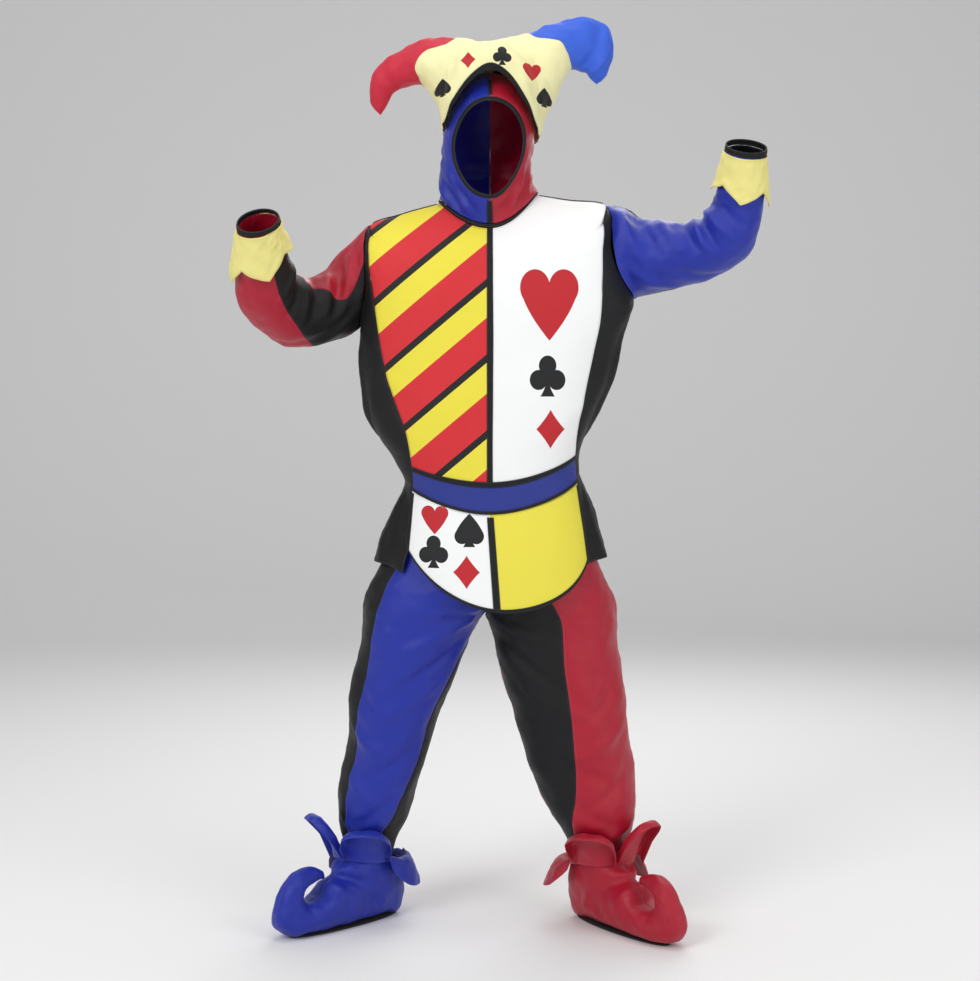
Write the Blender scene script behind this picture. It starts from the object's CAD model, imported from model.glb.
"""Jester costume as it is worn, with no wearer: cloth pieces laid on the fixed frame's solids.

The row frame is in metres, +Z up and front -Y, with the origin between the shoulders. The section tables
below are in millimetres, as a pattern cutter would note them, and are turned into metres in one place.
"""
from __future__ import annotations

import logging
import math
from collections.abc import Callable, Sequence
from dataclasses import dataclass, field
from enum import Enum
from functools import partial

import bmesh
import bpy
import numpy as np
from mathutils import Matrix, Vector


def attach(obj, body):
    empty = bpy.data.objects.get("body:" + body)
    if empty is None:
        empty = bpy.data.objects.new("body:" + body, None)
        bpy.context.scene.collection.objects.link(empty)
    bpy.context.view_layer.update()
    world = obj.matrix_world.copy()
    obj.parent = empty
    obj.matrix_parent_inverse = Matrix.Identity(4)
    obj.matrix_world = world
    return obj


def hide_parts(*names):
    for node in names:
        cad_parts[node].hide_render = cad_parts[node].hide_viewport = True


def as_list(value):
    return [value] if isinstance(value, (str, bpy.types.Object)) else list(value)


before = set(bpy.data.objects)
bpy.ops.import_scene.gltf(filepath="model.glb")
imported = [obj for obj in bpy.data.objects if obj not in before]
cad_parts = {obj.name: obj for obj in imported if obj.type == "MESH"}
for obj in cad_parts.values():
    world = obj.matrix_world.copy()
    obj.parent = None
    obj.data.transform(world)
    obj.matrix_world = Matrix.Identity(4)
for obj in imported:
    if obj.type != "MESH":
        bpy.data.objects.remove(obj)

Grid = np.ndarray
Surface = Callable[[Grid, Grid], Grid]
Limit = Callable[[Grid], Grid]
Socket = bpy.types.NodeSocket
Colour = tuple[float, float, float]

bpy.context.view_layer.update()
MM = 0.001
DEG = math.pi / 180
LOG = logging.getLogger("jester_costume")

SATIN_THICK = 1.3
FOAM_THICK = 2.4
TAPE_THICK = 1.2
CROWN_THICK = 1.6
TAPE_LIE = 0.5
SEAM_GAP = 0.25
SEAM_OPEN = 0.06
SEAM_X = -8
SHOULDER_SEAM = 87
BELT_TOP = 9
BELT_BOTTOM = 10
SKIRT_HEM = 13
TAPE_HALF = 6
FLOOR_LEVEL = -1450
GROOVE_REACH = 2.2
PUCKER_LONG = 13
PUCKER_REACH = 9
LEAST_SIDE = 0.0102
LEAST_SHARE = 0.31


class Side(Enum):
    """The wearer's side of the costume, with its sign in the section angles."""

    RIGHT = 1
    LEFT = -1


class Held(Enum):
    """How a cloth piece is held on the costume."""

    HUNG = "hung"
    STRETCHED = "stretched"
    GATHERED = "gathered"
    FOLDED = "folded"
    LAID = "laid"


def through(a: Grid, b: Grid, c: Grid, d: Grid, t: Grid) -> Grid:
    """Catmull-Rom value at the share t from b to c, with a before them and d after."""
    return b + 0.5 * t * (c - a + t * (2 * a - 5 * b + 4 * c - d + t * (3 * (b - c) + d - a)))


def track(values: Sequence[float], at: Grid) -> Grid:
    """Catmull-Rom value of a column of numbers.

    Args:
        values: the column, one number a section.
        at: section positions, which may lie between sections.

    Returns:
        The smooth value at each position.
    """
    column = np.asarray(values, float)
    last = len(column) - 1
    place = np.clip(at, 0, last)
    i = np.minimum(np.floor(place).astype(int), last - 1)
    t = place - i
    return through(*(column[np.clip(i + k, 0, last)] for k in (-1, 0, 1, 2)), t)


class Sections:
    """A table of sections, each column read as a smooth function of the section number."""

    def __init__(self, names: str, rows: Sequence[Sequence[float]]) -> None:
        """Reads the table."""
        self.columns = {name: [row[k] for row in rows] for k, name in enumerate(names.split())}
        self.last = len(rows) - 1

    def at(self, name: str, v: Grid) -> Grid:
        """The named column at section positions v."""
        return track(self.columns[name], v)


TORSO = Sections("zR zL zF zB aR aL bF bB eR eL n", [
    [0, 16, -56, 10, 101, 92, 78, 62, 100, 91, 2],
    [-20, 6, -95, -28, 172, 160, 98, 92, 170, 158, 2.5],
    [-42, -3, -132, -68, 238, 230, 108, 108, 231, 218, 3.3],
    [-88, -55, -170, -112, 256, 248, 115, 118, 236, 219, 4],
    [-158, -118, -216, -176, 254, 264, 121, 124, 228, 218, 3.8],
    [-250, -192, -274, -250, 258, 284, 125, 126, 217, 214, 3.2],
    [-305, -252, -330, -312, 259, 266, 128, 126, 207, 203, 2.8],
    [-368, -335, -395, -372, 254, 246, 131, 126, 190, 188, 2.5],
    [-432, -425, -470, -432, 240, 208, 132, 122, 164, 173, 2.4],
    [-498, -490, -555, -498, 198, 180, 129, 112, 152, 168, 2.4],
    [-552, -543, -612, -550, 170, 180, 126, 104, 152, 172, 2.4],
    [-602, -595, -660, -602, 190, 199, 132, 116, 158, 178, 2.3],
    [-656, -650, -705, -656, 212, 213, 138, 130, 162, 184, 2.2],
    [-712, -704, -745, -714, 227, 229, 142, 138, 165, 190, 2.2],
])
SLEEVE_COLUMNS = "xi zi xo zo y deep"
SLEEVES = {
    Side.RIGHT: Sections(SLEEVE_COLUMNS, [
        [-292, -92, -294, -268, -3, 76],
        [-315, -130, -332, -278, -16, 74],
        [-345, -147, -369, -286, -42, 70],
        [-373, -150, -415, -279, -78, 66],
        [-381, -138, -456, -245, -112, 62],
        [-384, -120, -480, -205, -146, 56],
        [-387, -97, -482, -150, -174, 50],
        [-391, -72, -476, -100, -200, 45],
        [-394, -50, -472, -62, -222, 41],
    ]),
    Side.LEFT: Sections(SLEEVE_COLUMNS, [
        [268, -8, 302, -184, -6, 78],
        [301, -33, 332, -179, -16, 74],
        [345, -38, 370, -171, -32, 70],
        [390, -42, 420, -157, -50, 66],
        [411, -38, 470, -137, -66, 64],
        [421, -25, 505, -106, -80, 60],
        [431, -4, 524, -52, -96, 54],
        [440, 25, 528, 3, -112, 48],
        [446, 60, 527, 50, -131, 43],
        [450, 96, 527, 90, -150, 40],
    ]),
}
HOOD = Sections("zR zL zF zB aR aL bF bB n", [
    [9, 25, -47, 19, 101, 96, 80, 64, 2],
    [34, 46, -22, 44, 100, 82, 92, 84, 2],
    [62, 70, 3, 74, 101, 80, 106, 100, 2],
    [95, 98, 42, 108, 98, 86, 112, 108, 2],
    [125, 126, 85, 140, 94, 88, 113, 112, 2],
    [155, 155, 130, 172, 86.3, 87, 112, 110, 2],
    [184, 184, 176, 200, 78, 82, 106, 100, 2],
    [212, 212, 210, 224, 68, 71, 90, 84, 2],
    [236, 236, 235, 242, 52, 54, 66, 62, 2],
    [252, 252, 251, 254, 31, 32, 38, 40, 2],
    [260, 260, 260, 260, 0, 0, 0, 0, 2],
])
HAT = Sections("xt zt xe yF zF yB zB swell out up", [
    [-224, 181, -218, 0, 176, 0, 176, 5, 5, 0],
    [-238, 206, -208, 0, 190, 0, 190, 20, 20, 0],
    [-231, 256, -196, 0, 213, 0, 213, 36, 36, 0],
    [-196, 294, -178, 0, 226, 0, 226, 46, 46, 0],
    [-150, 319, -152, 0, 234, 0, 234, 54, 54, 0],
    [-128, 326, -133, 0, 236, 0, 236, 58, 62, 0],
    [-110, 328, -116, 0, 217, 0, 217, 62, 72, 0],
    [-92, 328, -103, 0, 190, 0, 190, 70, 84, 0],
    [-74, 327, -95, 0, 160, 0, 160, 78, 90, 10],
    [-58, 326, -91, 26, 146, 34, 142, 84, 80, 30],
    [-34, 321, -72, 76, 182, 90, 130, 86, 40, 50],
    [-16, 315, -38, 99, 224, 120, 128, 86, 20, 56],
    [0, 311, 0, 104, 246, 128, 127, 86, 14, 60],
    [18, 317, 38, 99, 227, 120, 127, 86, 20, 56],
    [38, 325, 74, 76, 178, 90, 128, 86, 40, 50],
    [60, 331, 96, 26, 132, 34, 130, 84, 80, 30],
    [80, 338, 101, 0, 146, 0, 146, 78, 90, 10],
    [98, 346, 111, 0, 177, 0, 177, 70, 84, 0],
    [118, 355, 128, 0, 208, 0, 208, 62, 72, 0],
    [140, 362, 145, 0, 246, 0, 246, 56, 60, 0],
    [164, 367, 163, 0, 264, 0, 264, 52, 52, 0],
    [203, 367, 182, 0, 262, 0, 262, 46, 46, 0],
    [238, 344, 192, 0, 260, 0, 260, 38, 38, 0],
    [245, 302, 198, 0, 250, 0, 250, 29, 29, 0],
    [236, 262, 204, 0, 242, 0, 242, 18, 18, 0],
    [217, 237, 210, 0, 234, 0, 234, 5, 5, 0],
])
LEG_COLUMNS = "z x a b y"
LEGS = {
    Side.RIGHT: Sections(LEG_COLUMNS, [
        [-566, -52, 108, 92, 0],
        [-640, -60, 132, 102, 0],
        [-705, -75, 136, 102, 0],
        [-760, -98, 142, 114, 2],
        [-800, -122, 129, 112, 4],
        [-832, -139, 117, 106, 6],
        [-911, -163, 104, 98, 10],
        [-992, -187, 95, 90, 16],
        [-1073, -201, 86, 84, 24],
        [-1155, -222, 78, 79, 34],
        [-1228, -235, 74, 76, 50],
        [-1290, -246, 52, 56, 60],
        [-1345, -246, 41, 42, 67.6],
    ]),
    Side.LEFT: Sections(LEG_COLUMNS, [
        [-566, 50, 110, 92, 0],
        [-640, 56, 134, 102, 0],
        [-705, 68, 142, 106, 0],
        [-760, 88, 150, 114, 2],
        [-800, 112, 138, 112, 4],
        [-832, 125, 129, 108, 6],
        [-911, 137, 122, 102, 8],
        [-992, 155, 117, 98, 12],
        [-1073, 171, 110, 92, 20],
        [-1155, 191, 100, 86, 28],
        [-1228, 208, 88, 82, 34],
        [-1290, 222, 58, 60, 38],
        [-1345, 226, 43, 44, 40],
    ]),
}
CROTCH_ROW = 4.75
GORE_EDGE = {
    Side.RIGHT: [50] * 13,
    Side.LEFT: [7, 7, 7, 7, 7, 7, 4, 1, -3, -12, -30, -50, -60],
}
INSEAM = {
    Side.RIGHT: [-90, -90, -90, -90, -90, -90, -66, -58, -54, -46, -32, -12, 0],
    Side.LEFT: [-90, -90, -90, -90, -90, -90, -88, -86, -84, -84, -84, -84, -86],
}
BOOT_LOW = 3.45
BOOT_SQUARE = 2.5
BOOT = Sections("so ho si hi wide", [
    [14, 118, 148, 132, 52],
    [2, 72, 158, 124, 50],
    [1, 34, 165, 116, 46],
    [14, 3.5, 171, 109, 42],
    [60, 3.5, 179, 102, 42],
    [120, 3.5, 189, 93, 45],
    [180, 3.5, 202, 83, 46],
    [240, 3.5, 221, 69, 42],
    [290, 7, 241, 60, 36],
    [318, 28, 254, 68, 30],
    [315, 66, 258, 80, 26],
    [298, 102, 252, 91, 22],
    [268, 126, 238, 98, 18],
    [236, 131, 222, 100, 13],
    [206, 119, 207, 101, 7],
    [196, 104, 199, 100, 2.4],
])


def ease(start: float, end: float, x: Grid) -> Grid:
    """Smooth step from 0 at start to 1 at end; start may lie after end."""
    t = np.clip((x - start) / (end - start), 0, 1)
    return t * t * (3 - 2 * t)


def mix(a: Grid, b: Grid, t: Grid) -> Grid:
    """Straight blend of a and b."""
    return a + (b - a) * t


def refine(rows: Sequence[float], parts: int) -> Grid:
    """A row list with every interval cut into equal parts."""
    fine = [np.linspace(a, b, parts, endpoint=False) for a, b in zip(rows[:-1], rows[1:])]
    return np.concatenate([*fine, [rows[-1]]])


def section_point(body: Sections, degrees: Grid, v: Grid, shift: float = 0) -> Grid:
    """Point of a body section.

    Args:
        body: the section table.
        degrees: angle round the section, 0 at the front and 90 at the wearer's right.
        v: section number.
        shift: how far the whole section lies to the back.

    Returns:
        Points in millimetres, with x, y and z in the last axis.
    """
    s, c = np.sin(degrees * DEG), np.cos(degrees * DEG)
    n = body.at("n", v)
    reach = (np.abs(s) ** n + np.abs(c) ** n) ** (-1 / n)
    x = -reach * s * np.where(s > 0, body.at("aR", v), body.at("aL", v))
    y = -reach * c * np.where(c > 0, body.at("bF", v), body.at("bB", v))
    side = np.where(s > 0, body.at("zR", v), body.at("zL", v))
    middle = np.where(c > 0, body.at("zF", v), body.at("zB", v))
    return np.stack([x, y + shift, mix(middle, side, s * s)], axis=-1)


def torso_point(degrees: Grid, v: Grid) -> Grid:
    """Point of the tunic's body."""
    return section_point(TORSO, degrees, v)


@dataclass(frozen=True)
class Armhole:
    """The armhole, an ellipse in the torso's angle and section number."""

    middle: float = 3.5
    reach: float = 1.5
    spread: float = 34
    clear: float = 1.42

    def half_spread(self, v: Grid) -> Grid:
        """Half its width in degrees at section v."""
        away = (v - self.middle) / self.reach
        return self.spread * np.sqrt(np.maximum(0, 1 - away * away))

    def rows(self, count: int) -> Grid:
        """Section numbers from its top to its bottom, close together at both ends."""
        return self.middle - self.reach * np.cos(np.linspace(0, math.pi, count + 1))


ARMHOLE = Armhole()


def front_edge(side: Side, v: Grid) -> Grid:
    """Angle at which the stiff front ends at section v, on one side.

    Args:
        side: the wearer's side.
        v: section number.

    Returns:
        The angle in degrees, counted from the front.
    """
    v = np.asarray(v, float)
    wide, edge = ("aR", "eR") if side is Side.RIGHT else ("aL", "eL")
    n = TORSO.at("n", v)
    ratio = np.maximum(TORSO.at(wide, v) / TORSO.at(edge, v), 1.001)
    angle = np.arctan((ratio ** n - 1) ** (-1 / n)) / DEG
    angle = np.minimum(angle, 90 - ARMHOLE.half_spread(v) - 3)
    return np.where(v <= ARMHOLE.middle - ARMHOLE.reach, SHOULDER_SEAM, angle)


@dataclass(frozen=True)
class FlapShape:
    """The flap that hangs from the belt, in millimetres and shares of its own size."""

    bottom: float = -800
    rise_right: float = 125
    rise_left: float = 101
    swing: float = 30
    curl: float = 1.3
    lean: float = 0.2
    shift: float = 15
    flare: float = 16
    bow: float = -11
    bind_side: float = 0.024
    bind_low: float = 0.04
    bind_top: float = 0.03
    half_tape: float = 0.017

    def point(self, s: Grid, t: Grid) -> Grid:
        """Point at the share s from the wearer's left and the share t down.

        Args:
            s: share across the flap.
            t: share down it.

        Returns:
            Points in millimetres.
        """
        from_angle = -front_edge(Side.LEFT, BELT_BOTTOM)
        angle = mix(from_angle, front_edge(Side.RIGHT, BELT_BOTTOM), s)
        top = torso_point(angle, np.full_like(angle, BELT_BOTTOM))
        place = 1 - 2 * s
        rise = np.where(place > 0, self.rise_left, self.rise_right)
        bottom = self.bottom + rise * place * place
        x = top[..., 0] + t * (self.shift + self.flare * place + self.bow * place * place)
        y = top[..., 1] - self.swing * np.sin(t * self.curl) * (1 + self.lean * place)
        return np.stack([x, y, mix(top[..., 2], bottom, t)], axis=-1)

    def seam(self) -> float:
        """Share at which the middle seam runs."""
        left = float(front_edge(Side.LEFT, BELT_BOTTOM))
        return left / (left + float(front_edge(Side.RIGHT, BELT_BOTTOM)))


FLAP = FlapShape()


def skirt_point(s: Grid, v: Grid) -> Grid:
    """Point of the tunic's skirt, from its right front edge round the back to its left one.

    Args:
        s: share round the skirt.
        v: section number.

    Returns:
        Points in millimetres.
    """
    side_part, back_part = 3 / 13, 10 / 13
    place = np.abs(s - 0.5) * 2
    points = []
    for side in Side:
        front = front_edge(side, np.minimum(v, BELT_BOTTOM)) - 10 * ease(11, 11.8, v)
        forward = mix(90, front, (place - back_part) / side_part)
        angle = np.where(place < back_part, 180 - 90 * place / back_part, forward)
        p = torso_point(side.value * angle, v)
        out = 5 * ease(10, 12.5, v) * np.cos(angle * DEG * 8)
        out = out - 10 * ease(10, 11, v) * ease(84, 62, angle)
        flat = p * [1, 1, 0]
        points.append(p + flat / np.linalg.norm(flat, axis=-1, keepdims=True) * out[..., None])
    return np.where((s < 0.5)[..., None], points[0], points[1])


class SleeveSurface:
    """A sleeve from its armhole to the wrist. Angle 0 is its upper or inner edge, 90 its front."""

    def __init__(self, side: Side) -> None:
        """Reads the sleeve's table.

        Args:
            side: which sleeve.
        """
        self.side = side
        self.table = SLEEVES[side]
        self.last = self.table.last + 1

    def _root(self, degrees: Grid) -> Grid:
        """The armhole's rim.

        Args:
            degrees: angle in degrees.

        Returns:
            Points in millimetres.
        """
        v = ARMHOLE.middle - ARMHOLE.reach * np.cos(degrees * DEG)
        p = torso_point(self.side.value * (90 - ARMHOLE.spread * np.sin(degrees * DEG)), v)
        return p - [self.side.value * ARMHOLE.clear, 0, 0]

    def _middle(self, k: int) -> Grid:
        """Middle of section k."""
        col = {n: float(self.table.at(n, k)) for n in SLEEVE_COLUMNS.split()}
        return np.array([(col["xi"] + col["xo"]) / 2, col["y"], (col["zi"] + col["zo"]) / 2])

    def _ring(self, k: int, degrees: Grid) -> Grid:
        """Section k, square to the sleeve's way.

        Args:
            k: section number.
            degrees: angle in degrees.

        Returns:
            Points in millimetres.
        """
        way = self._middle(min(k + 1, self.table.last)) - self._middle(max(k - 1, 0))
        col = {n: float(self.table.at(n, k)) for n in SLEEVE_COLUMNS.split()}
        upper = np.array([(col["xi"] - col["xo"]) / 2, 0, (col["zi"] - col["zo"]) / 2])
        fore = np.cross(way, upper)
        fore = fore / np.linalg.norm(fore) * col["deep"]
        fore = -fore if fore[1] > 0 else fore
        c, s = np.cos(degrees * DEG)[..., None], np.sin(degrees * DEG)[..., None]
        return self._middle(k) + upper * c + fore * s

    def point(self, degrees: Grid, w: Grid) -> Grid:
        """Point at an angle and a place w, from 0 at the armhole.

        Args:
            degrees: angle round the sleeve.
            w: place along it.

        Returns:
            Points in millimetres.
        """
        rings = [self._root(degrees)]
        rings += [self._ring(k, degrees) for k in range(self.table.last + 1)]
        stack = np.stack(rings)
        place = np.clip(w, 0, self.last)
        i = np.minimum(np.floor(place).astype(int), self.last - 1)
        t = (place - i)[..., None]
        index = [np.clip(i + k, 0, self.last)[None, ..., None] for k in (-1, 0, 1, 2)]
        return through(*(np.take_along_axis(stack, k, axis=0)[0] for k in index), t)


def hood_point(degrees: Grid, v: Grid) -> Grid:
    """Point of the hood, with the soft folds of its neck.

    Args:
        degrees: angle round the hood, 90 at the wearer's right.
        v: section number.

    Returns:
        Points in millimetres.
    """
    p = section_point(HOOD, degrees, v, 3)
    folds = 3 * np.sin(degrees * DEG * 7) * ease(0, 0.8, v) * ease(3, 1.4, v)
    flat = p * [1, 1, 0]
    return p + flat / np.maximum(np.linalg.norm(flat, axis=-1, keepdims=True), 1e-6) * folds[..., None]


@dataclass(frozen=True)
class FaceOpening:
    """The face opening, an ellipse in the hood's angle and section number."""

    middle: float = 4.2
    reach: float = 2.1
    spread: float = 47
    band: float = 6
    band_reach: float = 0.24

    def half_spread(self, v: Grid) -> Grid:
        """Half its width in degrees at section v, to the outside of its binding."""
        away = (v - self.middle) / (self.reach + self.band_reach)
        return (self.spread + self.band) * np.sqrt(np.maximum(0, 1 - away * away))

    def rows(self, count: int) -> Grid:
        """Section numbers from its bottom to its top, close together at both ends."""
        turn = np.linspace(0, math.pi, count + 1)
        return self.middle - (self.reach + self.band_reach) * np.cos(turn)

    def rim(self, s: Grid, t: Grid) -> Grid:
        """Point of its binding, at the share s round it and t outward.

        Args:
            s: share round the opening.
            t: share outward, across the binding.

        Returns:
            Points in millimetres.
        """
        turn = s * 2 * math.pi
        reach = self.reach + self.band_reach * t
        spread = self.spread + self.band * t
        return hood_point(spread * np.sin(turn), self.middle - reach * np.cos(turn))


FACE = FaceOpening()


def hat_point(w: Grid, f: Grid, way: Grid) -> Grid:
    """Point of the hat: section w, share f from its top down, way -1 in front and 1 behind.

    Args:
        w: section number, from the red tip to the blue one.
        f: share from the top seam down.
        way: -1 in front and 1 behind.

    Returns:
        Points in millimetres.
    """
    way = np.asarray(way, float) + 0 * w
    front = way < 0
    end = np.maximum(np.where(front, HAT.at("yF", w), HAT.at("yB", w)), 0)
    low = np.where(front, HAT.at("zF", w), HAT.at("zB", w))
    zero = np.zeros_like(low)
    xt, zt, xe = HAT.at("xt", w), HAT.at("zt", w), HAT.at("xe", w)
    corners = [
        np.stack([xt, zero, zt], axis=-1),
        np.stack([xt, way * HAT.at("swell", w), zt], axis=-1),
        np.stack([xe, way * (end + HAT.at("out", w)), low + HAT.at("up", w)], axis=-1),
        np.stack([xe, way * end, low], axis=-1),
    ]
    t = np.clip(f, 0, 1)[..., None]
    shares = [(1 - t) ** 3, 3 * t * (1 - t) ** 2, 3 * t * t * (1 - t), t ** 3]
    return sum(corner * share for corner, share in zip(corners, shares))


def leg_point(side: Side, degrees: Grid, v: Grid) -> Grid:
    """Point of a trouser leg.

    Args:
        side: which leg.
        degrees: angle round the leg, 0 in front.
        v: section number.

    Returns:
        Points in millimetres.
    """
    leg = LEGS[side]
    s, c = np.sin(degrees * DEG), np.cos(degrees * DEG)
    ripple = 2.2 * np.sin(v * 2.6 + degrees * DEG * 2) * ease(5, 7, v)
    x = leg.at("x", v) - side.value * s * (leg.at("a", v) + ripple)
    y = leg.at("y", v) - c * (leg.at("b", v) + ripple)
    return np.stack([x, y, leg.at("z", v)], axis=-1)


def seam_angle(side: Side, v: Grid) -> Grid:
    """Angle at which a leg's section meets the middle seam, 90 where it doesn't reach it.

    Args:
        side: which leg.
        v: section number.

    Returns:
        The angle in degrees.
    """
    leg = LEGS[side]
    reach = side.value * (SEAM_X - leg.at("x", v)) / leg.at("a", v)
    angle = np.arcsin(np.clip(reach, 0, 1)) / DEG
    return np.where((reach >= 1) | (v >= CROTCH_ROW), 90, angle)


@dataclass(frozen=True)
class BootPlace:
    """Where a boot cover stands: its heel on the floor and the point its toe heads for."""

    heel: tuple[float, float]
    toe: tuple[float, float]

    def place(self, along: Grid, wide: Grid, high: Grid) -> Grid:
        """A point from the distance along the foot, across it and up from the floor.

        Args:
            along: distance from the heel.
            wide: distance to the foot's right.
            high: height over the floor.

        Returns:
            Points in millimetres.
        """
        way = np.array(self.toe) - np.array(self.heel)
        way = way / np.linalg.norm(way)
        x = self.heel[0] + way[0] * along + way[1] * wide
        y = self.heel[1] + way[1] * along - way[0] * wide
        return np.stack([x, y, FLOOR_LEVEL + high + 0 * x], axis=-1)

    def point(self, degrees: Grid, w: Grid) -> Grid:
        """Point of the boot's skin at an angle across it, at profile section w.

        Args:
            degrees: angle across the boot.
            w: profile section.

        Returns:
            Points in millimetres.
        """
        c, s = np.cos(degrees * DEG), np.sin(degrees * DEG)
        reach = (np.abs(s) ** BOOT_SQUARE + np.abs(c) ** BOOT_SQUARE) ** (-1 / BOOT_SQUARE)
        share = 0.5 + 0.5 * c * reach
        along = mix(BOOT.at("so", w), BOOT.at("si", w), share)
        high = mix(BOOT.at("ho", w), BOOT.at("hi", w), share)
        return self.place(along, BOOT.at("wide", w) * s * reach, np.maximum(high, BOOT_LOW))


BOOT_PLACES = {
    Side.RIGHT: BootPlace((-190, 124), (-418, -97)),
    Side.LEFT: BootPlace((179, 103), (380, -171)),
}


def drift(points: Grid, size: float, seed: int) -> Grid:
    """Slow unevenness of hand-made cloth, about -1 to 1.

    Args:
        points: points in millimetres.
        size: its usual wavelength in millimetres.
        seed: chooses the waves.

    Returns:
        One value for each point.
    """
    draw = np.random.default_rng(seed)
    total = np.zeros(points.shape[:-1])
    for _ in range(7):
        way = draw.normal(size=3)
        way *= 2 * math.pi / (size * draw.uniform(0.6, 1.6)) / np.linalg.norm(way)
        total += np.sin(points @ way + draw.uniform(0, 2 * math.pi))
    return total / 3.2


@dataclass(frozen=True)
class Crease:
    """One fold placed by hand: a ridge where its depth is above 0, a trough where it is below."""

    path: tuple[tuple[float, float], ...]
    depth: float
    width: float

    def lift(self, surface: Surface, points: Grid) -> Grid:
        """How far it lifts the cloth.

        Args:
            surface: turns its path's angle and section pairs into points.
            points: the cloth's points in millimetres, one a row.

        Returns:
            One height in millimetres for each point.
        """
        angle, row = np.array(self.path, float).T
        place = np.linspace(0, len(angle) - 1, 10 * (len(angle) - 1) + 1)
        line = surface(track(angle, place), track(row, place))
        height = np.zeros(len(points))
        reach = 3 * self.width
        near = np.all((points > line.min(0) - reach) & (points < line.max(0) + reach), axis=1)
        if not near.any():
            return height
        start, step = line[:-1], np.diff(line, axis=0)
        offset = points[near][:, None, :] - start
        share = np.clip((offset * step).sum(-1) / np.maximum((step * step).sum(-1), 1e-9), 0, 1)
        gap = np.linalg.norm(offset - share[..., None] * step, axis=-1)
        nearest = gap.argmin(1)
        pick = np.arange(len(nearest))
        along = (nearest + share[pick, nearest]) / len(step)
        r2 = (gap[pick, nearest] / self.width) ** 2
        fade = np.sin(math.pi * np.clip(along, 0.02, 0.98)) ** 0.7
        height[near] = self.depth * fade * (1 - 0.55 * r2) * np.exp(-0.9 * r2)
        return height


@dataclass(frozen=True)
class Folds:
    """The creases of one sub-assembly, and its slow unevenness."""

    surface: Surface
    creases: tuple[Crease, ...] = ()
    uneven: float = 0.8
    size: float = 70
    seed: int = 1

    def lift(self, points: Grid) -> Grid:
        """Height of the cloth over its plain form at each point.

        Args:
            points: points in millimetres.

        Returns:
            One height for each point.
        """
        flat = points.reshape(-1, 3)
        height = self.uneven * drift(flat, self.size, self.seed)
        height += 0.35 * self.uneven * drift(flat, self.size / 3, self.seed + 50)
        for crease in self.creases:
            height += crease.lift(self.surface, flat)
        return height.reshape(points.shape[:-1])


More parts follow.
